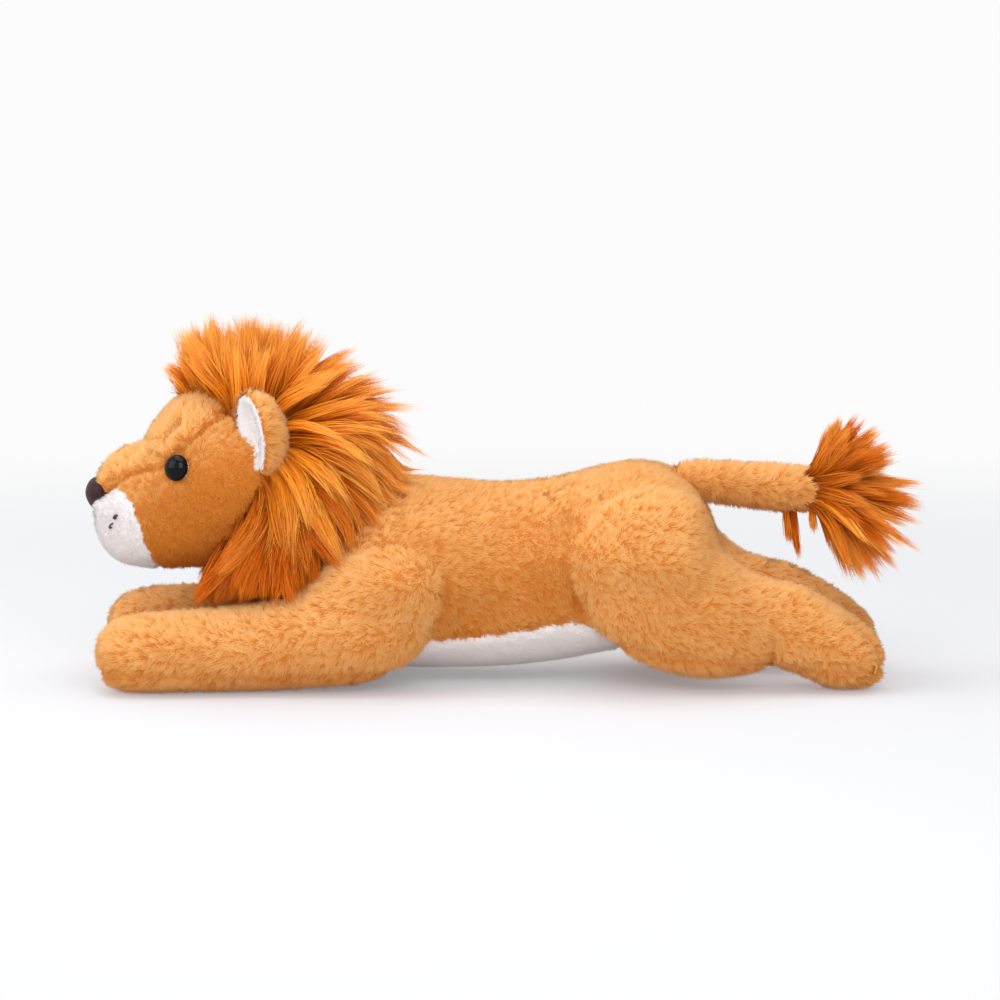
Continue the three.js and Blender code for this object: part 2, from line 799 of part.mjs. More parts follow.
const earRooms = []; // what the long pile leaves clear round each ear
const folds = [-earFold, 0, earFold];
for (const [name, side] of Object.entries(sides)) {
  const { place } = onHeadSkin(ear.placeShares, side);
  const centre = new THREE.Vector3(place.x, place.y + side * ear.out, place.z);
  const pivot = new THREE.Vector3(place.x, place.y + side * (ear.out - ear.pivotIn), place.z);
  const clear = swept(
    stuffed(headCurves, swing),
    pivot,
    folds.map((degrees) => [zAxis, degrees]),
  );
  const shell = without(
    solid(earShape(centre, side, 0)),
    solid(earShape(centre, side, -ear.back)),
    earOpening(centre, side, 0),
    clear,
  );
  const lining = without(
    solid(earShape(centre, side, -ear.back - gap)),
    solid(earShape(centre, side, -ear.back - gap - liningCloth)),
    earOpening(centre, side, gap),
    clear,
  );
  piece("ear_" + name + "_back", shell, tanPlush);
  piece("ear_" + name + "_lining", lining, whitePlush);
  const roomRoundIt = folds.map((degrees) => {
    const folded = earShape(centre, side, swing).applyMatrix4(turnAbout(pivot, zAxis, degrees));
    return solid(folded);
  });
  earRooms.push(joined(roomRoundIt));
}

// Mane: the back of the head in long pile, a full mass that ends in locks all round

const lock = { length: 26, radius: 12.5, sunk: 9, sides: 4, bendShare: 0.45, bendRadiusShare: 0.75 };
const lockRows = [
  { openShare: 0.15, count: 4 },
  { openShare: 0.4, count: 8 },
  { openShare: 0.65, count: 12 },
  { openShare: 0.9, count: 14 },
];
const pileCentreShares = [0.69, 0.545]; // on the head
const pileOpen = { sideAngle: 82, topAngle: 122, bottomAngle: 116 }; // how far forward it reaches, from straight back

// A tapered lock of pile from one place to another, with a soft shoulder.
function lockFrom(root, tip, size) {
  const length = root.distanceTo(tip);
  const profile = [
    [0, 0],
    [size.radius, 0],
    [size.radius * size.bendRadiusShare, length * size.bendShare],
    [0, length],
  ];
  const cone = turned(profile, size.sides);
  const turn = new THREE.Quaternion().setFromUnitVectors(yAxis, tip.clone().sub(root).normalize());
  return solid(cone.applyQuaternion(turn).translate(root.x, root.y, root.z));
}

// Directions in rings about straight back, opened to a share of the angle that a height allows.
function fan(rows, farthest) {
  return rows.flatMap(({ openShare, count }, row) =>
    Array.from({ length: count }, (_, i) => {
      const round = (2 * Math.PI * (i + (row % 2) / 2)) / count;
      const open = THREE.MathUtils.degToRad(farthest(Math.sin(round))) * openShare;
      return new THREE.Vector3(
        Math.cos(open),
        Math.sin(open) * Math.cos(round),
        Math.sin(open) * Math.sin(round),
      );
    }),
  );
}

const pileReaches = (height) => {
  const farthest = height > 0 ? pileOpen.topAngle : pileOpen.bottomAngle;
  return pileOpen.sideAngle + (farthest - pileOpen.sideAngle) * Math.abs(height);
};
const maneCurves = curvesOf(mane, maneShares, 1);
const [pileX, pileZ] = onHead(pileCentreShares);
const pileCentre = new THREE.Vector3(pileX, head.y, pileZ);
const locks = fan(lockRows, pileReaches).map((way) => {
  const { place } = skinAt(maneCurves, pileCentre, way);
  const root = place.clone().addScaledVector(way, -lock.sunk);
  return lockFrom(root, place.clone().addScaledVector(way, lock.length - lock.sunk), lock);
});
const mass = solid(stuffed(maneCurves)).intersect(behindFace(0));
const facePart = solid(stuffed(headCurves, gap)).subtract(behindFace(0));
piece(
  "mane",
  without(
    joined([mass, ...locks]),
    solid(stuffed(headCurves, -cloth)),
    facePart,
    torsoSweep,
    neckSocket,
    ...earRooms,
    ...underChin.map((form) => swept(form, neckCentre, headTurns)),
  ),
  longPile,
);

// Tail: a stuffed sleeve on a soft root, with a tuft of long pile gathered into its open end
const plugDepth = 12; // how far the tuft's roots go into the sleeve
const tuft = {
  sunk: 3, // the fan's centre lies this far inside the hem
  backLength: 60,
  downLength: 40,
  sideLength: 30,
  openAngle: 62,
  droopAngle: 12,
  lock: { radius: 5.5, sides: 4, bendShare: 0.62, bendRadiusShare: 1 },
  rows: [
    { openShare: 0, count: 1 },
    { openShare: 0.36, count: 6 },
    { openShare: 0.7, count: 8 },
    { openShare: 1, count: 10 },
  ],
};

piece("tail_root", ballAt(tailCentre, tailRoot.radius), tanPlush);

const tailTurns = steps(-tailDrop, tailLift, tailAngles).flatMap((lift) =>
  [-tailSwing, 0, tailSwing].map((turn) => [yAxis, -lift, zAxis, turn]),
);
const rumpSweep = swept(torsoRoughly, tailCentre, tailTurns);
const pastHem = box(tailEndX, farX, -halfDepth, halfDepth, -overrun, highZ);
const hemRow = tailShares.length - 3; // the row of the tail's shares that lies by the hem
const tailEnd = tailCurves.outline.getPoint(hemRow / (tailShares.length - 1));
const tuftCentre = new THREE.Vector3(tailEndX, tail.y, (tailEnd.y + tailEnd.z) / 2);

const sleeve = without(
  solid(stuffed(tailCurves)),
  solid(stuffed(tailCurves, -cloth)),
  rumpSweep,
  tailSocket,
  pastHem,
);
const inSleeve = without(solid(stuffed(tailCurves, -cloth - gap)), rumpSweep, tailSocket);
const pastRoots = (shift) =>
  box(tailEndX - plugDepth + shift, farX, -halfDepth, halfDepth, -overrun, highZ);
piece("tail_sleeve", sleeve, tanPlush);
piece("tail_filling", inSleeve.subtract(pastRoots(-gap)), fibre);

// How far the pile reaches from the hem in a direction.
const tuftReach = (way) =>
  1 / Math.hypot(way.x / tuft.backLength, way.y / tuft.sideLength, way.z / tuft.downLength);
const fanCentre = tuftCentre.clone().addScaledVector(xAxis, -tuft.sunk);
const droop = THREE.MathUtils.degToRad(tuft.droopAngle);
const brush = joined(
  fan(tuft.rows, () => tuft.openAngle).map((way) => {
    const tip = way.clone().multiplyScalar(tuftReach(way)).applyAxisAngle(yAxis, droop);
    return lockFrom(fanCentre, tip.add(fanCentre), tuft.lock);
  }),
);
const clearOfHem = box(-farX, tailEndX + gap, -halfDepth, halfDepth, -overrun, highZ);
piece("tail_tuft", brush.subtract(clearOfHem).add(inSleeve.intersect(pastRoots(0))), longPile);

export default lion;
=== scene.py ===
import math

import bmesh
import bpy
import numpy as np
from mathutils import Matrix, Vector, bvhtree, noise


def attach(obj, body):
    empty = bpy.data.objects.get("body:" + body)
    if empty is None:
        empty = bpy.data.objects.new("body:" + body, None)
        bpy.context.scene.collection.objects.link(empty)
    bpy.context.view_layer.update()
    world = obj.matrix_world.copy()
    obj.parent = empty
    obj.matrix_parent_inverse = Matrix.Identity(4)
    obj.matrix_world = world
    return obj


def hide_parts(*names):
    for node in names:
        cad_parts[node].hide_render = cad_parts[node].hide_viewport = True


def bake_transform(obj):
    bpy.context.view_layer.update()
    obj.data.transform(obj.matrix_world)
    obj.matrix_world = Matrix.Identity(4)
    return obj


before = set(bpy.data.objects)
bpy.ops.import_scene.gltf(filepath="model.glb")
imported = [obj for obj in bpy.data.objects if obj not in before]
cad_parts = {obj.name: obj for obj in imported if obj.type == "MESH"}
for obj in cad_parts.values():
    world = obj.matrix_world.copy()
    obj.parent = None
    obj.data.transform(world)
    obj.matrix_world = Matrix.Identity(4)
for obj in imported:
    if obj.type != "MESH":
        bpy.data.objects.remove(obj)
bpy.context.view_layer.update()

# Camera, light and floor
# A long lens at the photograph's side view, from 8 degrees above, in a plain pale studio with soft light.

mm = 0.001
photo_pixels = 1000  # the photograph is square
pixel = 0.47 * mm  # on the toy's middle plane
camera_tilt = math.radians(8)
camera_distance = 2.6
camera_reach = 60
sensor = 36.0
seen_x, seen_z = -4.9 * mm, 84.0 * mm  # what the photograph's middle shows
ambient = 0.6
floor_half = 25.0
floor_glow = 0.2  # brings the floor up to the backdrop's white
shadow_end, floor_end = 0.3, 0.9  # the object's shadow fades out between these


def colour(code):
    """A hex sRGB colour as Blender's linear one."""
    parts = [int(code[i : i + 2], 16) / 255 for i in (0, 2, 4)]
    linear = [c / 12.92 if c <= 0.04045 else ((c + 0.055) / 1.055) ** 2.4 for c in parts]
    return (*linear, 1.0)


def add_node(tree, kind, settings=None, **inputs):
    """Adds a shader node, sets its properties, and fills its inputs with values or other nodes' outputs.
    An input is given by its name with underscores, or by _ and its number."""
    node = tree.nodes.new(kind)
    for name, value in (settings or {}).items():
        setattr(node, name, value)
    for name, value in inputs.items():
        socket = node.inputs[int(name[1:])] if name[1:].isdigit() else node.inputs[name.replace("_", " ")]
        if isinstance(value, bpy.types.NodeSocket):
            tree.links.new(value, socket)
        else:
            socket.default_value = value
    return node


def new_material(name):
    """An empty material, its tree and its output."""
    material = bpy.data.materials.new(name)
    material.use_nodes = True
    tree = material.node_tree
    tree.nodes.clear()
    return material, tree, tree.nodes.new("ShaderNodeOutputMaterial")


def seen_itself(tree):
    """1 where the camera or a reflection sees a surface, and 0 where it only gives light to others."""
    path = add_node(tree, "ShaderNodeLightPath")
    either = add_node(tree, "ShaderNodeMath", {"operation": "MAXIMUM"},
                      _0=path.outputs["Is Camera Ray"], _1=path.outputs["Is Glossy Ray"])
    return either.outputs[0]


def show(name, data):
    """Puts an object in the scene."""
    thing = bpy.data.objects.new(name, data)
    bpy.context.scene.collection.objects.link(thing)
    return thing


camera = show("camera", bpy.data.cameras.new("camera"))
bpy.context.scene.camera = camera
camera.data.sensor_width = sensor
camera.data.lens = sensor * camera_distance / (photo_pixels * pixel)
camera.data.clip_end = camera_reach
target = Vector((seen_x, 0, seen_z / math.cos(camera_tilt)))
away = Vector((0, -math.cos(camera_tilt), math.sin(camera_tilt)))
camera.location = target + away * camera_distance
camera.rotation_euler = away.to_track_quat("Z", "Y").to_euler()

for name, place, size, power in (
    ("overhead_softbox", (-0.1, 0.05, 1.2), 1.2, 11.0),
    ("front_softbox", (0.05, -1.5, 1.0), 1.1, 15.5),
    ("nose_side_softbox", (-1.3, -0.45, 0.75), 1.0, 6.5),
):
    lamp = show(name, bpy.data.lights.new(name, "AREA"))
    lamp.data.size = size
    lamp.data.energy = power
    lamp.location = place
    lamp.rotation_euler = (Vector(place) - target).to_track_quat("Z", "Y").to_euler()

bpy.context.scene.view_settings.view_transform = "Standard"
world = bpy.data.worlds.new("studio")
bpy.context.scene.world = world
world.use_nodes = True
tree = world.node_tree
tree.nodes.clear()
seen = seen_itself(tree)
white = add_node(tree, "ShaderNodeBackground", Color=colour("fcfcfc"), Strength=1.0)
soft = add_node(tree, "ShaderNodeBackground", Color=colour("fafbff"), Strength=ambient)
either = add_node(tree, "ShaderNodeMixShader", _0=seen, _1=soft.outputs[0], _2=white.outputs[0])
tree.links.new(either.outputs[0], tree.nodes.new("ShaderNodeOutputWorld").inputs[0])

# A matt white sheet: where the camera sees it, it is as white as the backdrop but for the toy's shadow.
material, tree, output = new_material("pale studio floor")
seen = seen_itself(tree)
glow = add_node(tree, "ShaderNodeMath", {"operation": "MULTIPLY"}, _0=seen, _1=floor_glow)
tone = add_node(tree, "ShaderNodeMix", {"data_type": "RGBA"}, _0=seen, _6=colour("f2f2f2"),
                _7=colour("bebfc1"))
sheet = add_node(tree, "ShaderNodeBsdfPrincipled", Base_Color=tone.outputs[2], Roughness=1.0,
                 Specular_IOR_Level=0.0, Emission_Color=colour("fcfcfc"), Emission_Strength=glow.outputs[0])
white = add_node(tree, "ShaderNodeEmission", Color=colour("fcfcfc"), Strength=1.0)
place = add_node(tree, "ShaderNodeTexCoord")
off = add_node(tree, "ShaderNodeVectorMath", {"operation": "LENGTH"}, _0=place.outputs["Object"])
fade = add_node(tree, "ShaderNodeMapRange", {"interpolation_type": "SMOOTHSTEP"}, Value=off.outputs["Value"],
                From_Min=shadow_end, From_Max=floor_end)
far = add_node(tree, "ShaderNodeMath", {"operation": "MULTIPLY"}, _0=fade.outputs[0], _1=seen)
either = add_node(tree, "ShaderNodeMixShader", _0=far.outputs[0], _1=sheet.outputs[0], _2=white.outputs[0])
tree.links.new(either.outputs[0], output.inputs[0])

edit = bmesh.new()
bmesh.ops.create_grid(edit, x_segments=1, y_segments=1, size=floor_half)
floor = show("floor", bpy.data.meshes.new("floor"))
edit.to_mesh(floor.data)
edit.free()
floor.data.materials.append(material)

# Torso
# Two side panels of tan plush and a white belly panel, sewn into one bag and stuffed with fibre.
# The head, the limbs and the tail are sewn on it by hand, so each leaves a crease.


def smooth_through(rows, places):
    """Catmull-Rom through rows of numbers, at places that are counted in rows."""
    rows = np.vstack([2 * rows[0] - rows[1], rows, 2 * rows[-1] - rows[-2]])
    first = np.clip(places.astype(int), 0, len(rows) - 4)
    t = (places - first)[:, None]
    a, b, c, d = (rows[first + i] for i in range(4))
    return 0.5 * (2 * b + (c - a) * t + (2 * a - 5 * b + 4 * c - d) * t**2 + (3 * b - a - 3 * c + d) * t**3)


def in_order(edit):
    """The same bmesh with its parts in a fixed order. The operators' own order differs from run to run."""
    fresh = bmesh.new()
    corners = {old: fresh.verts.new(old.co) for old in sorted(edit.verts, key=lambda old: tuple(old.co))}
    fresh.verts.index_update()
    rings = []
    for face in edit.faces:
        ring = [corners[old].index for old in face.verts]
        first = ring.index(min(ring))
        rings.append((ring[first:] + ring[:first], face.material_index))
    edit.free()
    fresh.verts.ensure_lookup_table()
    for ring, index in sorted(rings):
        fresh.faces.new([fresh.verts[i] for i in ring]).material_index = index
    return fresh


def finished(name, edit):
    """Turns a bmesh into a smooth object of the scene."""
    edit = in_order(edit)
    mesh = bpy.data.meshes.new(name)
    edit.to_mesh(mesh)
    edit.free()
    mesh.polygons.foreach_set("use_smooth", [True] * len(mesh.polygons))
    return show(name, mesh)


def surface(piece):
    """The places and normals of a mesh's vertices."""
    count = len(piece.data.vertices)
    places, normals = np.empty(count * 3), np.empty(count * 3)
    piece.data.vertices.foreach_get("co", places)
    piece.data.vertex_normals.foreach_get("vector", normals)
    return places.reshape(-1, 3), normals.reshape(-1, 3)


def set_places(piece, places):
    piece.data.vertices.foreach_set("co", np.ascontiguousarray(places).ravel())
    piece.data.update()


def given(value, at):
    """A value that is the same all over, or a function that gives it for each place."""
    return value(at) if callable(value) else value


outline_steps = 800  # how finely a form's outline is followed


class Form:
    """The outside of a stuffed form, over its pile. Each row of shares is along, top, bottom, half width and
    sideways shift, in shares of its length, height, height, half width and half width. The rest is in mm."""

    def __init__(self, shares, front, length, base, height, half, y=0.0, side=1):
        rows = np.array([list(row) + [0] * (5 - len(row)) for row in shares], float)
        rows = rows * (length, height, height, half, side * half) + (front, base, base, 0, side * y)
        dense = smooth_through(rows, np.linspace(0, len(rows) - 1, outline_steps))
        self.x, self.top, self.bottom, self.half, self.y = dense.T * mm
        self.half = np.maximum(self.half, 0)
        self.middle = (self.top + self.bottom) / 2
        self.rise = np.maximum(self.top - self.bottom, 0) / 2
        self.tree = None

    def section(self, x):
        """The cross section at x: the y and z of its middle, and half its width and height."""
        return (np.interp(x, self.x, track) for track in (self.y, self.middle, self.half, self.rise))

    def ball(self, rings, around):
        """The form's outside as a bmesh: a ball whose poles go to the form's two ends."""
        steps = sum(np.hypot(np.diff(self.x), np.diff(track))
                    for track in (self.top, self.bottom, self.middle + self.half))
        along = np.concatenate([[0], np.cumsum(steps)])
        ball = bmesh.new()
        bmesh.ops.create_uvsphere(ball, u_segments=around, v_segments=rings, radius=1)
        for vertex in ball.verts:
            at = along[-1] * math.acos(max(-1, min(1, vertex.co.z))) / math.pi
            angle = math.atan2(vertex.co.y, vertex.co.x)
            x, y, middle, half, rise = (np.interp(at, along, track)
                                        for track in (self.x, self.y, self.middle, self.half, self.rise))
            vertex.co = (x, y + half * math.sin(angle), middle + rise * math.cos(angle))
        if ball.calc_volume(signed=True) < 0:
            bmesh.ops.reverse_faces(ball, faces=ball.faces)
        return ball

    def skin(self, name, rings, around, inset):
        """A closed mesh inside the form, whose pile fills what is left. inset may follow the place."""
        piece = finished(name, self.ball(rings, around))
        places, normals = surface(piece)
        deep = np.broadcast_to(given(inset, places), len(places))
        set_places(piece, places - normals * deep[:, None])
        return refined(piece)

    def distance(self, places):
        """How far outside the form places are. Under 0 is inside."""
        if self.tree is None:
            ball = in_order(self.ball(rings=48, around=40))
            ball.normal_update()
            self.tree = bvhtree.BVHTree.FromBMesh(ball)
            ball.free()
        off = np.empty(len(places))
        for i, place in enumerate(places):
            near, normal, _, away = self.tree.find_nearest(place)
            off[i] = math.copysign(away, (Vector(place) - near).dot(normal))
        return off

    def past(self, places, margin=0.0):
        """How far outside the form places are, as a share of its girth there: under 0 is inside."""
        x = places[:, 0]
        y, middle, half, rise = self.section(x)
        out = np.hypot((places[:, 1] - y) / (half + margin), (places[:, 2] - middle) / (rise + margin)) - 1
        return np.where((x < self.x[0] - margin) | (x > self.x[-1] + margin), 1.0, out)

    def pushed_out(self, places, margin):
        """The places, those inside the form or within a margin of it moved straight out across its length."""
        x = places[:, 0]
        y, middle, half, rise = self.section(x)
        across = (places[:, 1] - y) / (half + margin)
        up = (places[:, 2] - middle) / (rise + margin)
        out = np.maximum(np.hypot(across, up), 1e-3)
        grow = np.where((out < 1) & (x > self.x[0]) & (x < self.x[-1]), 1 / out, 1.0)
        moved = places.copy()
        moved[:, 1] = y + across * grow * (half + margin)
        moved[:, 2] = middle + up * grow * (rise + margin)
        return moved


def applied(thing):
    """An object's mesh with its modifiers, or its curve's thickness, applied."""
    bpy.context.view_layer.update()
    return bpy.data.meshes.new_from_object(thing.evaluated_get(bpy.context.evaluated_depsgraph_get()))


def refined(piece):
    """Subdivides a piece's mesh once."""
    modifier = piece.modifiers.new("finer", "SUBSURF")
    modifier.levels = modifier.render_levels = 1
    finer = applied(piece)
    piece.modifiers.clear()
    piece.data = finer
    return piece


def from_line(places, line):
    """How far places are, seen from the side, from a line of (x, z) points."""
    flat = places[:, [0, 2]]
    nearest = np.full(len(flat), np.inf)
    line = np.asarray(line, float)
    for start, end in zip(line[:-1], line[1:]):
        way = end - start
        share = np.clip(((flat - start) @ way) / (way @ way), 0, 1)
        nearest = np.minimum(nearest, np.linalg.norm(flat - start - share[:, None] * way, axis=1))
    return nearest


def height_over(places, line):
    """How high places are over a line of (x, z) points that runs along x."""
    return places[:, 2] - np.interp(places[:, 0], line[:, 0], line[:, 1])


def held(at, lines, width):
    """How firmly, from 0 to 1, seams and creases hold the plush. lines are (x, z) lines in the side view."""
    near = [np.exp(-(from_line(at, line) / width) ** 2) for line in lines]
    return np.max(near, 0) if near else np.zeros(len(at))


def pull_in(piece, depth, near):
    """Draws the skin in where near, from 0 to 1, says that a seam or stitch holds it."""
    places, normals = surface(piece)
    set_places(piece, places - normals * (near(places) * depth)[:, None])


def crease(piece, line, width, depth, where=lambda at: 1):
    """Draws the skin in along a seam or a crease, given as it is seen from the side."""
    pull_in(piece, depth, lambda at: held(at, [line], width) * where(at))


def melted(piece, other, reach):
    """Swells the skin where another form leaves it, so that the two run into each other. reach gives how
    far off that starts at each place, and the swelling is a quarter of it at most."""
    places, normals = surface(piece)
    reach = reach(places)
    near = np.clip(1 - np.abs(other.distance(places)) / reach, 0, 1)
    set_places(piece, places + normals * (near**2 * reach / 4)[:, None])


def soft_material(name, low, high, patches, grain, bump, **finish):
    """A matt cloth or fibre in two tones. patches and grain are each a size and a noise detail, and bump a
    strength and a height."""
    material, tree, output = new_material(name)
    place = add_node(tree, "ShaderNodeTexCoord").outputs["Object"]
    wide, fine = (add_node(tree, "ShaderNodeTexNoise", Vector=place, Scale=1 / size, Detail=detail).outputs[0]
                  for size, detail in (patches, grain))
    tone = add_node(tree, "ShaderNodeMix", {"data_type": "RGBA"}, _0=wide, _6=colour(low), _7=colour(high))
    relief = add_node(tree, "ShaderNodeBump", Strength=bump[0], Distance=bump[1], Height=fine)
    cloth = add_node(tree, "ShaderNodeBsdfPrincipled", Base_Color=tone.outputs[2], Normal=relief.outputs[0],
                     **finish)
    tree.links.new(cloth.outputs[0], output.inputs[0])
    return material


# The knitted ground that the pile grows from gives the eye a dull mottled cloth between the strands. Its
# loops are 0.5 mm, too fine to show, so they are drawn in lumps of 3.85 mm.
knit = dict(patches=(19.2 * mm, 2.0), grain=(3.85 * mm, 4.0), bump=(0.6, 0.6 * mm), Roughness=0.95)
# Painted shade: the tan backing is painted darker than the pile, as the shade deep between the strands.
tan_backing = soft_material("tan plush backing", "ac5e1c", "c27028", **knit)
white_backing = soft_material("white plush backing", "d8d0ce", "e4dcda", **knit)

torso_shares = [
    (0, 0.487, 0.487, 0), (0.011, 0.64, 0.34, 0.3), (0.042, 0.77, 0.18, 0.61), (0.094, 0.88, 0.056, 0.83),
    (0.168, 0.94, 0.01, 0.935), (0.272, 0.95, 0, 0.978), (0.455, 0.923, 0.005, 0.957),
    (0.607, 0.949, 0.036, 0.946), (0.717, 0.988, 0.077, 0.978), (0.806, 1, 0.097, 1),
    (0.88, 0.955, 0.128, 0.967), (0.937, 0.85, 0.179, 0.848), (0.979, 0.69, 0.282, 0.565),
    (1, 0.467, 0.467, 0),
]
torso_pile = 3.2 * mm
torso_form = Form(torso_shares, front=-92, length=191, base=4.5, height=97.5, half=46)
belly_seam = np.array([(-79, 6.5), (-63.4, 20.1), (-38.5, 23), (-11.8, 25.7), (11.1, 28.9), (25.5, 32.6),
                       (39.8, 28.9), (60, 11)]) * mm
belly_front, belly_back = -84 * mm, 64 * mm
flank_creases = [
    np.array([(29.1, 48.9), (30.3, 38)]) * mm,
    np.array([(33, 68.8), (31.4, 59.3), (32.4, 47.5), (33.1, 37)]) * mm,
    np.array([(-30.3, 52.2), (-30.8, 42.7)]) * mm,
]
flank_y = 20 * mm  # past this the torso faces the side

# The legs' forms come here, because the torso swells where they are sewn on.
foreleg_shares = [
    (0, 0.306, 0.306, 0, 0.13), (0.011, 0.434, 0.167, 0.39, 0.13), (0.044, 0.534, 0.048, 0.7, 0.13),
    (0.113, 0.603, 0, 0.89, 0.13), (0.225, 0.628, 0, 0.935, 0.1), (0.369, 0.653, 0, 0.935, 0.05),
    (0.525, 0.702, 0.008, 0.957, 0), (0.663, 0.802, 0.032, 1, 0), (0.775, 0.921, 0.055, 1, 0),
    (0.875, 1, 0.137, 0.89, 0), (0.944, 0.95, 0.266, 0.7, 0), (0.984, 0.792, 0.434, 0.39, 0),
    (1, 0.638, 0.638, 0, 0),
]
hindleg_shares = [
    (0, 0.577, 0.577, 0, 0.09), (0.014, 0.712, 0.44, 0.4, 0.09), (0.056, 0.841, 0.32, 0.667, 0.09),
    (0.125, 0.943, 0.222, 0.867, 0.09), (0.223, 1, 0.131, 0.98, 0.09), (0.334, 0.966, 0.08, 1, 0.09),
    (0.432, 0.831, 0.063, 0.98, 0.05), (0.53, 0.682, 0.08, 0.89, -0.02), (0.62, 0.622, 0.1, 0.8, -0.09),
    (0.711, 0.588, 0.075, 0.84, -0.13), (0.822, 0.492, 0, 0.91, -0.16), (0.913, 0.393, 0, 0.84, -0.16),
    (0.969, 0.314, 0.035, 0.62, -0.16), (0.994, 0.234, 0.085, 0.31, -0.16), (1, 0.16, 0.16, 0, -0.16),
]
foreleg_forms = {side: Form(foreleg_shares, front=-194, length=160, base=-0.5, height=63.5, half=23,
                            y=38, side=side) for side in (-1, 1)}
hindleg_forms = {side: Form(hindleg_shares, front=32, length=143.5, base=-0.5, height=87.5, half=22.5,
                            y=36, side=side) for side in (-1, 1)}
tight, loose = 5 * mm, 44 * mm  # how far from a limb's root the plush swells, at a crease and elsewhere


def shoulder_melt(at):
    """The shoulder runs smoothly into the side above, and leaves a crease below."""
    return np.interp(at[:, 2], [32 * mm, 50 * mm], [tight, loose])


def hip_melt(at):
    """The thigh runs smoothly into the rump, and leaves creases before its foot and over its shank."""
    return np.minimum(np.interp(at[:, 2], [42 * mm, 62 * mm], [tight, loose]),
                      np.interp(at[:, 0], [80 * mm, 96 * mm], [loose, 9 * mm]))


def below_belly_seam(at):
    return (height_over(at, belly_seam) < 0) & (at[:, 0] > belly_front) & (at[:, 0] < belly_back)


def give_material(piece, where, index):
    """Gives the faces whose middles are there another of the piece's materials."""
    faces = piece.data.polygons
    middles, current = np.empty(len(faces) * 3), np.zeros(len(faces), np.int32)
    faces.foreach_get("center", middles)
    faces.foreach_get("material_index", current)
    current[where(middles.reshape(-1, 3))] = index
    faces.foreach_set("material_index", current)


torso = torso_form.skin("torso", rings=60, around=56, inset=torso_pile)
for side in (-1, 1):
    melted(torso, foreleg_forms[side], shoulder_melt)
    melted(torso, hindleg_forms[side], hip_melt)
crease(torso, belly_seam, width=2 * mm, depth=2.2 * mm)
for line in flank_creases:
    crease(torso, line, width=1.6 * mm, depth=3.2 * mm, where=lambda at: np.abs(at[:, 1]) > flank_y)
torso.data.materials.append(tan_backing)
torso.data.materials.append(white_backing)
give_material(torso, below_belly_seam, 1)
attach(torso, "torso")
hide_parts("side_panel_left", "side_panel_right", "belly_panel", "torso_filling")

# Forelegs
# Each is an upper and an under panel of tan plush round its own stuffing, sewn flat against the chest.

rng = np.random.default_rng(7)
noise.seed_set(7)  # otherwise its vectors differ from run to run
strand_height = 1.2  # in mm, where a strand counts as hidden if another skin covers it there
seam_hold = 2.2 * mm  # how far from a seam the pile lies down
broad_wave, fine_wave = 22 * mm, 5 * mm  # how far apart the pile turns, and its tufts part
cloud, fleck = 25 * mm, 4 * mm  # the sizes of its lighter and darker patches
sunk = 0.5 * mm  # the strands start inside the cloth
floor_gap = 0.3 * mm
tuft_spread = 0.8  # a tuft's width, in spacings
strand_tone = 0.004  # how much a strand's shade changes across it


def unit(vectors):
    return vectors / np.maximum(np.linalg.norm(vectors, axis=-1, keepdims=True), 1e-12)


def swirl(places, scale):
    """Soft noise vectors that change over about scale."""
    return np.array([noise.noise_vector(Vector(place / scale)) for place in places])


def uncovered(at, up, skins):
    """Which places' pile stands clear of other closed skins: a line from inside one crosses it an odd number
    of times."""
    clear = np.ones(len(at), bool)
    ahead = Vector((0.31, 0.93, 0.2)).normalized()
    for skin in skins:
        edit = bmesh.new()
        edit.from_mesh(skin.data)
        tree = bvhtree.BVHTree.FromBMesh(edit)
        edit.free()
        for i in np.nonzero(clear)[0]:
            start, crossings = Vector(at[i] + up[i] * strand_height * mm), 0
            while (hit := tree.ray_cast(start, ahead)[0]) is not None:
                start, crossings = hit + ahead * 0.001 * mm, crossings + 1
            clear[i] = crossings % 2 == 0
    return clear


def sprinkled(piece, spacing, keep=None, panel=None, others=()):
    """Places all over a skin, or its panel of one material, about evenly spaced, with the normals there.
    Four times as many are drawn as are wanted, and one is kept in each small cell."""
    mesh = piece.data
    mesh.calc_loop_triangles()
    corner = np.empty(len(mesh.loop_triangles) * 3, np.int32)
    mesh.loop_triangles.foreach_get("vertices", corner)
    corner = corner.reshape(-1, 3)
    places, normals = surface(piece)
    a, b, c = (places[corner[:, i]] for i in range(3))
    area = np.linalg.norm(np.cross(b - a, c - a), axis=1) / 2
    if panel is not None:
        kind = np.empty(len(mesh.loop_triangles), np.int32)
        mesh.loop_triangles.foreach_get("material_index", kind)
        area = area * (kind == panel)
    tries = int(area.sum() / spacing**2 * 4)
    pick = rng.choice(len(area), tries, p=area / area.sum())
    r, s = np.sqrt(rng.random(tries)), rng.random(tries)
    share = np.stack([1 - r, r * (1 - s), r * s], 1)[:, :, None]
    at = (places[corner[pick]] * share).sum(1)
    up = unit((normals[corner[pick]] * share).sum(1))
    kept = np.unique(np.floor(at / spacing * 1.18).astype(int), axis=0, return_index=True)[1]
    at, up = at[kept], up[kept]
    if keep is not None:
        kept = keep(at)
        at, up = at[kept], up[kept]
    if others:
        kept = uncovered(at, up, others)
        at, up = at[kept], up[kept]
    return at, up


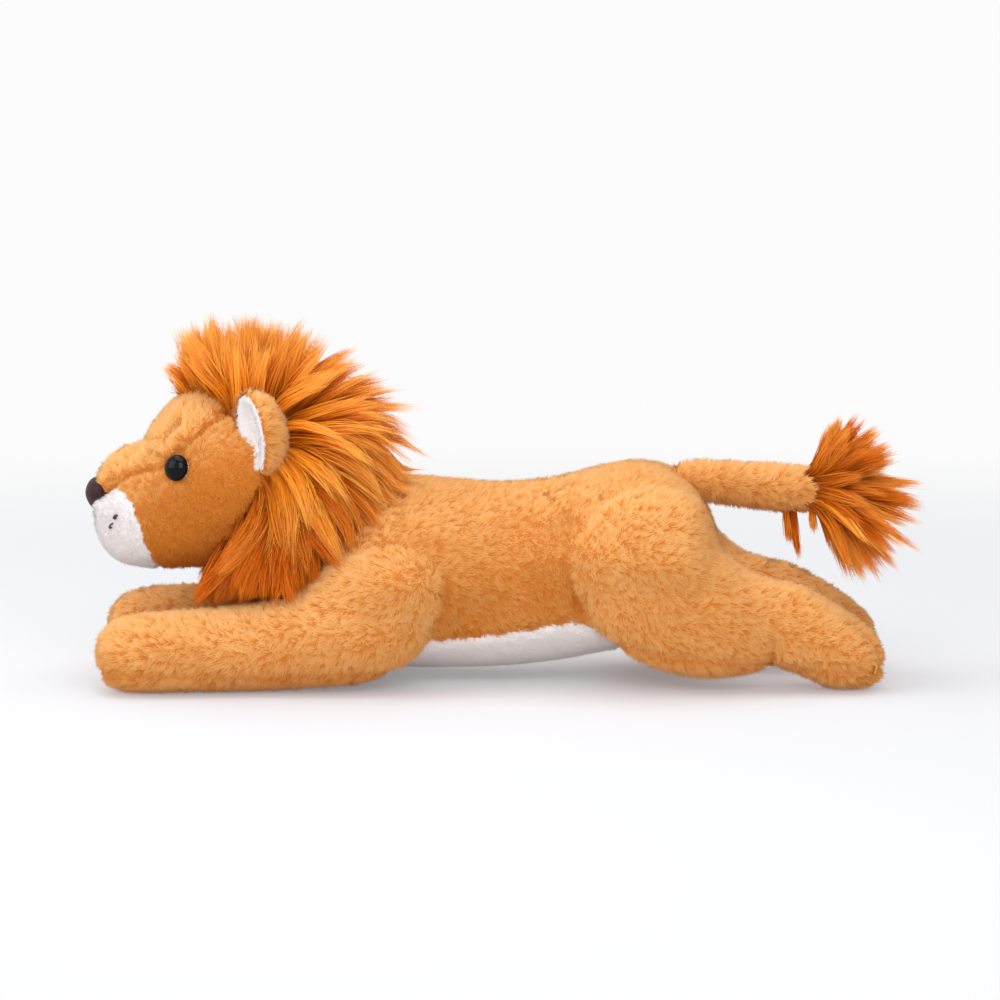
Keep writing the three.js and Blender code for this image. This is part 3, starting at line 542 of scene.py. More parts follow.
def strand_mesh(name, vertices, corners, faces, shade, across, along):
    """One mesh of many like strands. vertices is strand x vertex x 3; corners are the vertices of one
    strand's faces, one face after another, and faces says where each starts. Its UV map holds each strand's
    shade across, which across changes a little, and along, the way from root to tip, up."""
    count, per = vertices.shape[:2]
    number = np.arange(count)[:, None]
    mesh = bpy.data.meshes.new(name)
    mesh.vertices.add(count * per)
    mesh.vertices.foreach_set("co", vertices.ravel())
    mesh.loops.add(count * len(corners))
    mesh.loops.foreach_set("vertex_index", (corners + per * number).ravel().astype(np.int32))
    mesh.polygons.add(count * len(faces))
    mesh.polygons.foreach_set("loop_start", (faces + len(corners) * number).ravel().astype(np.int32))
    mesh.update(calc_edges=True)
    uv = np.empty((count, len(corners), 2))
    uv[..., 0] = np.clip(shade, 0.01, 0.99)[:, None] + across[corners]
    uv[..., 1] = along[corners]
    mesh.uv_layers.new(name="OFBake").uv.foreach_set("vector", uv.ravel())
    return mesh


def spikes(name, root, tip, widths, up, shade):
    """One mesh of straight strands with three sides, rooted in the skin, one edge outwards. Their normals
    lean to the skin's, as fine pile shades."""
    along = unit(tip - root)
    ridge = up + rng.normal(0, 0.1, up.shape)
    ridge = unit(ridge - (ridge * along).sum(1, keepdims=True) * along)
    beside = np.cross(along, ridge)
    corners, normals = [], []
    for k in range(3):
        angle = k * 2 * math.pi / 3
        out = math.cos(angle) * ridge + math.sin(angle) * beside
        corners.append(root + out * widths[:, None] / math.sqrt(3))
        normals.append(unit(up + 0.45 * out))
    normals = np.stack([*normals, unit(up + 0.3 * along)], 1)
    mesh = strand_mesh(name, np.stack([*corners, tip], 1), np.array([0, 1, 3, 1, 2, 3, 2, 0, 3]),
                       np.array([0, 3, 6]), shade, np.array([-1, 0, 1, 0]) * strand_tone,
                       np.array([0.01, 0.03, 0.01, 0.99]))
    mesh.polygons.foreach_set("use_smooth", [True] * len(mesh.polygons))
    mesh.normals_split_custom_set_from_vertices(normals.reshape(-1, 3))
    return show(name, mesh)


def pile(name, skin, material, spacing, strands, height, lay, flow, keep=None, width=0.58 * mm, unruly=0.9,
         tint=0.0, clump=0.6, panel=None, seams=(), others=()):
    """Short plush on a skin: tufts of strands that lean the way of the flow, with their tips drawn together.
    height is how far tips stand over the skin, lay how far they lean, and tint how much paler they are,
    which in places paints light and shade; flow, height and tint may follow the place. Fibres this fine
    let light through, so that they darken nothing around them. Painted shade darkens the pile along
    seams and creases, and painted light makes it paler where it faces up."""
    at, up = sprinkled(skin, spacing, keep, panel, others)
    count = len(at)
    down = held(at, seams, seam_hold)
    wave = 0.7 * swirl(at, broad_wave) + 1.4 * swirl(at + 1, fine_wave)
    lean = given(flow, at) + unruly * wave
    lean = unit(lean - (lean * up).sum(1, keepdims=True) * up)
    tall = given(height, at) * rng.uniform(0.75, 1.1, count) * (1 - 0.5 * down)
    long = lay * rng.uniform(0.7, 1.2, count)
    across = np.cross(up, lean)
    angle = rng.uniform(0, 2 * math.pi, (count, strands))[:, :, None]
    reach = np.sqrt(rng.random((count, strands)))[:, :, None]
    spread = spacing * tuft_spread * reach * (np.cos(angle) * lean[:, None] + np.sin(angle) * across[:, None])
    root = at[:, None] + spread - sunk * up[:, None]
    tall = tall[:, None, None] * rng.uniform(0.55, 1.0, (count, strands, 1))
    long = long[:, None, None] * rng.uniform(0.6, 1.2, (count, strands, 1))
    stray = rng.normal(0, 0.4 * mm, (count, strands, 3))
    tip = at[:, None] + spread * (1 - clump) + tall * up[:, None] + long * lean[:, None] + stray
    tip[..., 2] = np.maximum(tip[..., 2], floor_gap)
    shade = 0.5 + 0.16 * swirl(at, cloud)[:, 0] + 0.2 * swirl(at, fleck)[:, 1] + rng.normal(0, 0.07, count)
    # painted shade: darker along seams and creases
    shade = shade - 0.4 * down
    shade = shade + 0.3 * np.maximum(up[:, 2], 0) - 0.06  # painted light: paler where it faces up
    shade = shade + given(tint, at)
    shade = (shade[:, None] + rng.normal(0, 0.09, (count, strands))).ravel()
    widths = width * rng.uniform(0.8, 1.2, len(shade))
    piece = spikes(name, root.reshape(-1, 3), tip.reshape(-1, 3), widths, np.repeat(up, strands, 0), shade)
    piece.visible_shadow = piece.visible_diffuse = False
    piece.data.materials.append(material)
    return piece


def pile_material(name, dark, light, roughness=0.8):
    """Polyester pile whose colour runs from root to tip. dark and light are the two ends of its shades, each
    as the colours of root, middle and tip. A part of the light goes through the fibres."""
    material, tree, output = new_material(name)
    uv = add_node(tree, "ShaderNodeUVMap", {"uv_map": "OFBake"})
    parts = add_node(tree, "ShaderNodeSeparateXYZ", Vector=uv.outputs[0])
    ramps = []
    for codes in (dark, light):
        ramp = add_node(tree, "ShaderNodeValToRGB", Fac=parts.outputs["Y"])
        stops = ramp.color_ramp.elements
        stops[0].position, stops[0].color = 0.05, colour(codes[0])
        stops[1].position, stops[1].color = 0.95, colour(codes[2])
        stops.new(0.45).color = colour(codes[1])
        ramps.append(ramp.outputs[0])
    mixed = add_node(tree, "ShaderNodeMix", {"data_type": "RGBA"}, _0=parts.outputs["X"], _6=ramps[0],
                     _7=ramps[1])
    lit = add_node(tree, "ShaderNodeBsdfPrincipled", Base_Color=mixed.outputs[2], Roughness=roughness,
                   Specular_IOR_Level=0.1)
    through = add_node(tree, "ShaderNodeBsdfTranslucent", Color=mixed.outputs[2])
    fibres = add_node(tree, "ShaderNodeMixShader", _0=0.2, _1=lit.outputs[0], _2=through.outputs[0])
    tree.links.new(fibres.outputs[0], output.inputs[0])
    return material


# Brushed plush: the roots are painted dark under pale tips, as painted shade deep among the strands, which
# gives the eye its depth.
tan_pile = pile_material("tan plush pile", ("9c4c0c", "ce741e", "e28e36"), ("d2863a", "f5aa58", "fdce92"))


def kept_out(places, form, way, margin):
    """The places, those inside a form moved along a way until they are clear of it."""
    moved = places.copy()
    for _ in range(200):
        inside = form.past(moved, margin) < 0
        if not inside.any():
            break
        moved[inside] += np.asarray(way) * 0.4 * mm
    return moved


def leg_skin(body, form, pile_height, melt, side):
    """A leg's stuffed skin, which swells where it is sewn on and reaches 6 mm into the torso."""
    leg = form.skin(body, rings=48, around=40, inset=pile_height)
    melted(leg, torso_form, melt)
    set_places(leg, kept_out(surface(leg)[0], torso_form, (0, side, 0), -6.0 * mm))
    leg.data.materials.append(tan_backing)
    return leg


legs = []
foreleg_pile = 3.0 * mm
foreleg_seam = np.array([(-210, 12.6), (-178, 10.7), (-114, 10.1), (-18, 12.6)]) * mm
for name, side in (("left", -1), ("right", 1)):
    body = "foreleg_" + name
    leg = leg_skin(body, foreleg_forms[side], foreleg_pile, shoulder_melt, side)
    crease(leg, foreleg_seam, width=1.6 * mm, depth=1.0 * mm)
    legs.append(leg)
    coat = pile(body + "_pile", leg, tan_pile, spacing=2.1 * mm, strands=10, height=foreleg_pile,
                lay=3.0 * mm, flow=(-0.9, side * -0.7, -0.35), tint=0.25, seams=[foreleg_seam],
                others=[torso])
    for piece in (leg, coat):
        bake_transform(piece)
    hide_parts(*(f"{body}_{part}" for part in ("upper_panel", "under_panel", "filling")))

# Hind legs
# Made as the forelegs are: an outer panel and an inner one that shows under the thigh and foot.
# Two threads pinch the foot's tip into three toes.


def tube(name, points, radius):
    """A closed round cord along points, as a mesh."""
    curve = bpy.data.curves.new(name, "CURVE")
    curve.dimensions = "3D"
    spline = curve.splines.new("NURBS")
    spline.points.add(len(points) - 1)
    for point, place in zip(spline.points, points):
        point.co = (*place, 1)
    spline.order_u = 3
    spline.use_endpoint_u = True
    curve.bevel_depth = radius
    curve.bevel_resolution = 2
    curve.use_fill_caps = True
    made = show(name, curve)
    mesh = applied(made)
    bpy.data.objects.remove(made)
    return show(name, mesh)


def thread_material(name, code):
    """Twisted sewing thread: a ridge at each 0.35 mm of its twist, across a matt cord, with a painted
    highlight on top of each ridge.
    """
    twist = 0.35 * mm
    material, tree, output = new_material(name)
    place = add_node(tree, "ShaderNodeTexCoord")
    ridges = add_node(tree, "ShaderNodeTexWave", Vector=place.outputs["Object"], Scale=math.pi / 10 / twist,
                      Distortion=1.0)
    # painted highlight: the colour is paler along each ridge, where light catches it
    tone = add_node(tree, "ShaderNodeMix", {"data_type": "RGBA"}, _0=ridges.outputs["Fac"],
                    _6=colour(code), _7=tuple(c * 1.6 for c in colour(code)[:3]) + (1.0,))
    bump = add_node(tree, "ShaderNodeBump", Strength=0.5, Distance=0.1 * mm, Height=ridges.outputs["Fac"])
    cord = add_node(tree, "ShaderNodeBsdfPrincipled", Base_Color=tone.outputs[2], Roughness=0.8,
                    Normal=bump.outputs[0])
    tree.links.new(cord.outputs[0], output.inputs[0])
    return material


tan_thread = thread_material("tan sewing thread", "b87a3c")
hindleg_pile = 3.2 * mm
hindleg_seam = np.array([(18, 33.1), (42, 26.1), (75, 18.7), (126.7, 13.1), (154, 11.3), (190, 11.3)]) * mm
ankle_crease = np.array([(121, 25), (121.5, 18), (120, 9), (116, 0)]) * mm
toe_gap = 16 * mm  # between the two threads
toe_groove = 2.3 * mm
foot_y = 32.4 * mm
toe_start, toe_end = 154 * mm, 164 * mm
toe_middle = (162.5 * mm, 17 * mm)  # the threads lie on the skin round this x and z
thread_radius, thread_depth = 0.6 * mm, 4.6 * mm
for name, side in (("left", -1), ("right", 1)):
    body = "hindleg_" + name
    form = hindleg_forms[side]
    thread_places = {1: side * (foot_y + 0.5 * toe_gap), 2: side * (foot_y - 0.5 * toe_gap)}

    def toe_pinch(at):
        """1 at the bottom of the two grooves between the toes."""
        off = np.min([np.abs(at[:, 1] - y) for y in thread_places.values()], 0)
        ahead = np.clip((at[:, 0] - toe_start) / (toe_end - toe_start), 0, 1)
        return np.exp(-(off / toe_groove) ** 2) * ahead

    leg = leg_skin(body, form, hindleg_pile, hip_melt, side)
    crease(leg, hindleg_seam, width=1.6 * mm, depth=1.6 * mm)
    crease(leg, ankle_crease, width=3.0 * mm, depth=3.2 * mm, where=lambda at: at[:, 1] * side > foot_y)
    pull_in(leg, 4.5 * mm, toe_pinch)
    legs.append(leg)
    # Painted shade: the pile is painted darker in the grooves between the toes.
    coat = pile(body + "_pile", leg, tan_pile, spacing=2.15 * mm, strands=10,
                height=lambda at: hindleg_pile * (1 - 0.5 * toe_pinch(at)), lay=3.0 * mm,
                flow=(0.9, side * -0.7, -0.25), tint=lambda at: 0.25 - 1.1 * toe_pinch(at),
                seams=[hindleg_seam, ankle_crease], others=[torso])
    for piece in (leg, coat):
        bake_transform(piece)
    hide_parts(*(f"{body}_{part}" for part in ("outer_panel", "inner_panel", "filling")))
    for number, y in thread_places.items():
        start = Vector((toe_middle[0], y, toe_middle[1]))
        line = []
        for angle in np.radians(np.linspace(75, -50, 9)):
            way = Vector((math.cos(angle), 0, math.sin(angle)))
            reach = next(reach for reach in np.arange(2, 60, 0.25) * mm
                         if form.past(np.array([start + way * reach]))[0] > 0)
            line.append(start + way * (reach - thread_depth))
        thread = tube(f"{body}_toe_stitch_{number}", line, thread_radius)
        thread.data.materials.append(tan_thread)
        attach(thread, body)
        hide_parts(f"{body}_toe_thread_{number}")

# The torso's pile
# It grows where no leg covers the panels: tan on the sides, and short and white on the belly.

parting = 4 * mm  # over the back the nap turns within this


def parted(at):
    """-1 on one side of the toy's middle and 1 on the other."""
    return np.clip(at[:, 1] / parting, -1, 1)


def combed_back(back, inward, up):
    """A nap that runs back along the toy, and from both sides towards the seam over its back."""
    return lambda at: np.stack([np.full(len(at), back), -inward * parted(at), np.full(len(at), up)], 1)


for name, side in (("left", -1), ("right", 1)):
    # Painted shade: the sides' pile is painted darker low down, where less light falls.
    coat = pile("side_pile_" + name, torso, tan_pile, spacing=2.15 * mm, strands=10, height=torso_pile,
                lay=3.0 * mm, flow=combed_back(0.9, 0.4, -0.5),
                keep=lambda at: ~below_belly_seam(at) & (at[:, 1] * side > 0),
                tint=lambda at: np.interp(at[:, 2], [50 * mm, 85 * mm], [-0.2, 0]),
                seams=[belly_seam, *flank_creases], others=legs)
    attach(coat, "torso")

# The same plush left white: hardly darker at the roots, so the belly and the muzzle look soft and flat.
white_pile = pile_material("white plush pile", ("dcd3d0", "eae2df", "f0eae7"), ("e8e3e1", "f3efed", "f6f3f2"))
belly_coat = pile("belly_pile", torso, white_pile, spacing=2.2 * mm, strands=10, height=2.2 * mm,
                  lay=2.2 * mm, flow=(1, 0, -0.2), keep=below_belly_seam, unruly=0.6, clump=0.3,
                  seams=[belly_seam])
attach(belly_coat, "torso")

# Head
# A gusset over the nose and forehead, a cheek panel on each side and one white panel round the muzzle,
# stuffed hard. The eyes are pressed in through the cheeks, and pull small hollows there.

head_shares = [
    (0, 0.364, 0.364, 0), (0.015, 0.505, 0.205, 0.2), (0.056, 0.6, 0.097, 0.33), (0.12, 0.665, 0.034, 0.46),
    (0.19, 0.705, 0.011, 0.57), (0.25, 0.81, 0.003, 0.66), (0.325, 0.92, 0, 0.785), (0.41, 0.99, 0.006, 0.89),
    (0.513, 1.01, 0.011, 0.967), (0.632, 1, 0.017, 1), (0.761, 0.955, 0.034, 0.967),
    (0.872, 0.841, 0.091, 0.826), (0.949, 0.693, 0.182, 0.587), (0.987, 0.545, 0.307, 0.283),
    (1, 0.42, 0.42, 0),
]
face_pile, muzzle_pile, under_mane = 2.7 * mm, 1.6 * mm, 5 * mm
head_form = Form(head_shares, front=-197, length=117, base=52, height=88, half=46)
gusset_seam = np.array([(-199, 88), (-190.8, 89.7), (-184.7, 94), (-176.8, 98.5), (-161.9, 102.8),
                        (-150.2, 114.5), (-140.8, 123), (-129.1, 130.5), (-115, 136)]) * mm
brow_crease = np.array([(-172.5, 125), (-171, 112), (-166, 106)]) * mm  # where the bridge of the nose ends
muzzle_edge = np.array([(-205, 84), (-194, 85.5), (-188.5, 88.5), (-184.7, 93), (-178.9, 89.8), (-176.2, 86),
                        (-173, 78), (-171, 68.5), (-167.8, 60.8), (-165.4, 56), (-163, 40)]) * mm
mane_line = np.array([(-112, 112), (-114, 95), (-126.8, 74), (-140.8, 56), (-146.7, 43)]) * mm
mane_front = np.array([(0, -153), (6, -149), (13, -139), (24, -130), (34, -120), (40, -113)]) * mm  # y and x
eye_at = (-156.0 * mm, 105.2 * mm)
eye_hollow_width, eye_clearing = 8.5 * mm, 6.3 * mm
nose_end, nose_cover = -192 * mm, -195 * mm  # before these the nose hides the muzzle's edge, and the pile


def inside_outline(at, outline):
    """Which places lie, seen from the side, inside a closed outline of (x, z) points."""
    inside = np.zeros(len(at), bool)
    for (x0, z0), (x1, z1) in zip(outline, np.roll(outline, -1, 0)):
        spans = (z0 > at[:, 2]) != (z1 > at[:, 2])
        with np.errstate(divide="ignore", invalid="ignore"):
            inside ^= spans & (at[:, 0] < (x1 - x0) * (at[:, 2] - z0) / (z1 - z0) + x0)
    return inside


def on_muzzle(at):
    return inside_outline(at, np.vstack([muzzle_edge, [(-0.205, 0.04)]]))


def behind_mane_line(at):
    """Below the ear the mane starts at a line down the cheek, and above it at an arc over the forehead."""
    below = inside_outline(at, np.vstack([mane_line, [(0, 0.043), (0, 0.112)]]))
    front = np.interp(np.abs(at[:, 1]), mane_front[:, 0], mane_front[:, 1])
    return below | ((at[:, 2] >= 112 * mm) & (at[:, 0] > front))


def side_place(form, x, z, side):
    """A form's outside at a place in the side view, and the way that it faces there."""
    y, middle, half, rise = form.section(x)
    place = np.array([x, y + side * half * math.sqrt(max(0, 1 - ((z - middle) / rise) ** 2)), z])
    feel = 0.2 * mm
    out = form.past(place + np.vstack([np.eye(3), -np.eye(3)]) * feel)
    return Vector(place), Vector(out[:3] - out[3:]).normalized()


eyes = {side: side_place(head_form, *eye_at, side) for side in (-1, 1)}


def from_eyes(at):
    """How far places are from the nearer eye's middle."""
    return np.min([np.linalg.norm(at - np.array(place), axis=1) for place, _ in eyes.values()], 0)


def eye_hollow(at):
    return np.exp(-(from_eyes(at) / eye_hollow_width) ** 2)


def head_inset(at):
    deep = np.where(on_muzzle(at), muzzle_pile, face_pile)
    return np.where(behind_mane_line(at), under_mane, deep)


head = head_form.skin("head", rings=72, around=64, inset=head_inset)
set_places(head, kept_out(surface(head)[0], torso_form, (-1, 0, 0), -1.0 * mm))
pull_in(head, 2.8 * mm, eye_hollow)
crease(head, gusset_seam, width=1.8 * mm, depth=3.2 * mm)
crease(head, brow_crease, width=3.0 * mm, depth=1.2 * mm)
crease(head, muzzle_edge, width=1.3 * mm, depth=0.9 * mm, where=lambda at: at[:, 0] > nose_end)
mane_backing = soft_material("long pile backing", "a84c0a", "c46414", **knit)
for material in (tan_backing, white_backing, mane_backing):
    head.data.materials.append(material)
give_material(head, on_muzzle, 1)
give_material(head, behind_mane_line, 2)
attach(head, "head")
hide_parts("head_gusset", "cheek_panel_left", "cheek_panel_right", "muzzle_panel", "head_filling")


def on_face(at):
    clear = (from_eyes(at) > eye_clearing) & (at[:, 0] > nose_cover)
    return clear & ~on_muzzle(at) & ~behind_mane_line(at)


def face_painted_shading(at):
    """Painted light and shade: the forehead and the bridge of the nose are painted paler, where light falls
    on them, and the cheeks are painted darker below, round the eyes and along the seams, where shade falls.
    """
    over = np.interp(height_over(at, gusset_seam), np.array([-46, -20, -2, 5, 16]) * mm,
                     [-0.8, -0.35, 0, 0.35, 0.9])
    # painted shade along the gusset seam and the brow crease
    sewn = 0.4 * held(at, [gusset_seam], 1.8 * mm) + 0.25 * held(at, [brow_crease], 3 * mm)
    return over - 0.35 * eye_hollow(at) - sewn


face_coat = pile("face_pile", head, tan_pile, spacing=1.9 * mm, strands=10, height=face_pile, lay=2.6 * mm,
                 flow=combed_back(0.7, 0.7, -0.3), keep=on_face, width=0.5 * mm, tint=face_painted_shading,
                 seams=[gusset_seam])
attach(face_coat, "head")
muzzle_coat = pile("muzzle_pile", head, white_pile, spacing=1.5 * mm, strands=10, height=muzzle_pile,
                   lay=1.3 * mm, flow=(0.5, 0, -0.8), keep=on_muzzle, width=0.4 * mm, unruly=0.8, clump=0.3)
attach(muzzle_coat, "head")

# Eyes, nose and whisker dots
# Domed black safety eyes, a padded nose of short brown velour, and two stitches on each side of the muzzle.


def plastic_material(name, code, grain, detail, rough, **finish):
    """Moulded plastic of one colour, with smears of a size and noise detail that change its roughness."""
    material, tree, output = new_material(name)
    place = add_node(tree, "ShaderNodeTexCoord")
    smear = add_node(tree, "ShaderNodeTexNoise", Vector=place.outputs["Object"], Scale=1 / grain,
                     Detail=detail)
    gloss = add_node(tree, "ShaderNodeMapRange", Value=smear.outputs[0], To_Min=rough[0], To_Max=rough[1])
    solid = add_node(tree, "ShaderNodeBsdfPrincipled", Base_Color=colour(code), Roughness=gloss.outputs[0],
                     **finish)
    tree.links.new(solid.outputs[0], output.inputs[0])
    return material


# Moulded glossy black plastic: near black, with one small sharp highlight and faint smears 1.1 mm apart.
eye_black = plastic_material("polished black plastic", "060608", grain=1.1 * mm, detail=3.0,
                             rough=(0.04, 0.12), Specular_IOR_Level=0.14)
eye_radius, eye_dome, eye_rim, eye_sunk, eye_bevel = 6.2 * mm, 4.2 * mm, 0.8 * mm, 3.0 * mm, 0.25 * mm
stem_radius, stem_end = 1.6 * mm, -12 * mm
dome = [(eye_radius * math.cos(a), eye_rim + eye_dome * math.sin(a) - eye_sunk)
        for a in np.linspace(0, math.pi / 2, 14)[:-1]]
profile = [(0, stem_end), (stem_radius, stem_end), (stem_radius, -eye_sunk), (eye_radius * 0.94, -eye_sunk),
           (eye_radius, eye_bevel - eye_sunk), *dome, (0, eye_rim + eye_dome - eye_sunk)]
for name, side in (("left", -1), ("right", 1)):
    edit = bmesh.new()
    rail = [edit.verts.new((radius, 0, height)) for radius, height in profile]
    steps = [edit.edges.new(pair) for pair in zip(rail[:-1], rail[1:])]
    bmesh.ops.spin(edit, geom=rail + steps, axis=(0, 0, 1), cent=(0, 0, 0), angle=2 * math.pi, steps=48,
                   use_merge=True)
    bmesh.ops.remove_doubles(edit, verts=edit.verts, dist=0.001 * mm)
    bmesh.ops.recalc_face_normals(edit, faces=edit.faces)
    place, facing = eyes[side]
    turn = Vector((0, 0, 1)).rotation_difference(facing).to_matrix().to_4x4()
    bmesh.ops.transform(edit, verts=edit.verts, matrix=Matrix.Translation(place) @ turn)
    eye = finished("safety_eye_" + name, edit)
    eye.data.materials.append(eye_black)
    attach(eye, "head")
    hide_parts("eye_" + name)

# Velour: a nap too short to show strand by strand gives a dark, even cloth with a soft pale rim. The nap's
# fibres are 0.05 mm, drawn as grains of 0.55 mm.
velour = soft_material("brown velour", "2a191b", "412a2d", patches=(5.5 * mm, 2.0), grain=(0.55 * mm, 3.0),
                       bump=(0.7, 0.3 * mm), Roughness=0.7, Specular_IOR_Level=0.15, Sheen_Weight=0.12,
                       Sheen_Roughness=0.35)
nose_middle = Vector((-193.8, 0, 88)) * mm
nose_half = Vector((6.0, 9.5, 8.0)) * mm
edit = bmesh.new()
bmesh.ops.create_uvsphere(edit, u_segments=32, v_segments=20, radius=1)
for vertex in edit.verts:
    ahead, beside, up = vertex.co
    narrow = 1 - 0.45 * max(0, -up) ** 1.2 + 0.06 * max(0, up)  # a rounded triangle, seen from the front
    thin = 1 - 0.2 * max(0, -up)
    shaped = Vector((ahead * thin, beside * narrow, up))
    vertex.co = nose_middle + shaped * nose_half
nose = refined(finished("padded_nose", edit))
nose.data.materials.append(velour)
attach(nose, "head")
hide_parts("nose")

dark_thread = thread_material("dark sewing thread", "3a3335")
stitch_depth, stitch_rise = 2 * mm, 0.6 * mm
stitches = {  # x and z of the two ends, and the radius
    1: ((-184.3, 80.3), (-185.0, 78.9), 0.7),
    2: ((-186.5, 76.0), (-187.4, 73.8), 0.45),
}
for name, side in (("left", -1), ("right", 1)):
    for number, (*ends, radius) in stitches.items():
        (start, facing), (end, _) = (side_place(head_form, x * mm, z * mm, side) for x, z in ends)
        middle = (start + end) / 2
        line = [start - facing * stitch_depth, start, middle + facing * stitch_rise, end,
                end - facing * stitch_depth]
        stitch = tube(f"whisker_stitch_{name}_{number}", line, radius * mm)
        stitch.data.materials.append(dark_thread)
        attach(stitch, "head")
        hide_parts(f"whisker_knot_{name}_{number}")

# Ears
# A back of tan plush and a lining of short white plush each, cupped and sewn to the side of the head,
# open to the front. The near edge is folded in, so the lining shows as a strip.

ear_radii = np.array([14, 15, 21]) * mm
ear_open = math.radians(31)
ear_rim = -4 * mm  # the opening lies this far before the ear's middle
ear_lean = 0.16
ear_out = 6 * mm
ear_middle = Vector((-116.3, 0, 122.4)) * mm
ear_pile = 2.4 * mm
cup_steps = ((1.2, 0.5), (1.6, -0.6), (3.0, -2.2), (3.0, -1.4), (2.5, -0.3))  # the lining's way in, then down
for name, side in (("left", -1), ("right", 1)):
    body = "ear_" + name
    middle = np.array(side_place(head_form, ear_middle.x, ear_middle.z, side)[0]) + (0, side * ear_out, 0)
    edit = bmesh.new()
    bmesh.ops.create_uvsphere(edit, u_segments=40, v_segments=24, radius=1)
    bmesh.ops.rotate(edit, verts=edit.verts, matrix=Matrix.Rotation(math.pi / 2, 3, "Y"))
    bmesh.ops.scale(edit, verts=edit.verts, vec=ear_radii - ear_pile)
    cut = bmesh.ops.bisect_plane(edit, geom=edit.verts[:] + edit.edges[:] + edit.faces[:],
                                 plane_co=(ear_rim, 0, 0), plane_no=(1, 0, 0), clear_inner=True)
    rim = [part for part in cut["geom_cut"] if isinstance(part, bmesh.types.BMEdge)]
    for face in bmesh.ops.edgeloop_fill(edit, edges=rim)["faces"]:
        face.material_index = 1
    edit = in_order(edit)
    edit.normal_update()
    lining = [face for face in edit.faces if face.material_index == 1]
    for thickness, depth in cup_steps:
        bmesh.ops.inset_region(edit, faces=lining, thickness=thickness * mm, depth=depth * mm,
                               use_even_offset=True)
    bmesh.ops.recalc_face_normals(edit, faces=edit.faces)
    lean = Matrix.Identity(4)
    lean[0][2] = -ear_lean
    turn = Matrix.Rotation(-side * ear_open, 4, "Z")
    bmesh.ops.transform(edit, verts=edit.verts, matrix=Matrix.Translation(middle) @ turn @ lean)
    cup = refined(finished(body + "_shell", edit))
    cup.data.materials.append(tan_backing)
    cup.data.materials.append(white_backing)
    ahead = np.array([-math.cos(ear_open), side * math.sin(ear_open), 0])

    def ear_flow(at):
        """Back from the rim on the outside, and past the rim on the inside, where it shows as a fringe."""
        off = at - middle
        outside = np.clip(side * off[:, 1] / (8 * mm), -1, 1)[:, None]
        return unit(off) * 0.5 - outside * ahead

    back = pile(body + "_back_pile", cup, tan_pile, spacing=2.0 * mm, strands=11, height=ear_pile,
                lay=3.4 * mm, flow=ear_flow, unruly=0.6, tint=0.22, panel=0, others=[head],
                keep=lambda at: (at - middle) @ (ahead - (0, 0, ear_lean)) < -ear_rim - 0.5 * mm)
    lining = pile(body + "_lining_pile", cup, white_pile, spacing=1.5 * mm, strands=10, height=1.0 * mm,
                  lay=1.2 * mm, flow=(0, 0, -1), width=0.4 * mm, unruly=0.4, clump=0.3, tint=0.4, panel=1,
                  others=[head])
    for piece, finish in ((cup, "tan_plush"), (back, "tan_plush"), (lining, "white_plush")):
        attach(piece, body)
    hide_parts(body + "_back", body + "_lining")

# Mane
# A panel of long pile over the back and sides of the head. It stands up over the crown, and falls in
# locks that spread from behind the ear.

# Long polyester pile: fibres that lie side by side shine a little more. Its roots are painted dark under
# bright tips, as painted shade deep in the mane, which parts the locks.
mane_pile = pile_material("burnt orange long pile", ("6c2200", "be5406", "e27a18"),
                          ("c65a04", "ffa628", "ffc460"), roughness=0.6)
# How the mane is combed, in the side view: x and z in mm, and the way that the pile goes there.
comb = np.array([
    (-156, 156, -0.5, 0.85), (-159.6, 147, -0.9, 0.35), (-146, 151, -0.3, 0.95), (-139, 160, -0.15, 1),
    (-137, 142, -0.7, 0.7), (-146, 142, -0.85, 0.5), (-120, 165, 0.02, 1), (-120, 141, -0.05, 1),
    (-110, 165, 0.08, 1), (-107, 146, 0.25, 0.97), (-102, 156, 0.4, 0.9), (-94, 160, 0.55, 0.83),
    (-85, 153, 0.75, 0.65), (-75, 151, 0.9, 0.4), (-99, 138, 0.75, 0.65), (-85, 141, 0.87, 0.5),
    (-66, 143, 0.97, 0.2), (-52, 134, 1, -0.05), (-85, 128, 1, 0.05), (-66, 124, 0.97, -0.22),
    (-47, 119, 0.85, -0.5), (-38, 110, 0.6, -0.8), (-94, 120, 0.95, -0.3), (-75, 111, 0.8, -0.6),
    (-57, 101, 0.75, -0.65), (-47, 92, 0.65, -0.75), (-94, 106, 0.7, -0.7), (-80, 97, 0.65, -0.75),
    (-66, 82, 0.6, -0.8), (-99, 97, 0.35, -0.93), (-90, 78, 0.3, -0.95), (-75, 70, 0.35, -0.93),
    (-105, 97, -0.1, -1), (-107, 78, -0.15, -1), (-99, 64, 0.05, -1), (-113, 92, -0.5, -0.85),
    (-122, 78, -0.65, -0.75), (-118, 59, -0.35, -0.94), (-132, 64, -0.75, -0.65), (-141, 50, -0.5, -0.85),
    (-103, 50, 0, -1), (-94, 54, -0.15, -0.98),
]) * (mm, mm, 1, 1)
mane_outline = np.array([
    (-152, 139), (-160, 147), (-158, 156), (-153.2, 163), (-142.2, 168), (-133.2, 171), (-123.4, 170),
    (-112, 167), (-103, 166), (-94, 163), (-85.8, 163), (-75, 156), (-65, 152), (-51.5, 145), (-41, 134),
    (-31.3, 111), (-33, 102), (-44.9, 86), (-51.5, 77), (-58, 73.5), (-68.9, 62), (-84.4, 54), (-97.5, 48),
    (-105, 39), (-115, 42), (-128, 40), (-147, 41), (-147, 46), (-136, 59), (-122, 80), (-111, 97),
    (-116, 115), (-131, 134),
]) * mm
lock_spacing = 4.3 * mm
lock_shortest, lock_longest, lock_more = 42, 54, 26  # in mm, and how much longer they are behind the ears
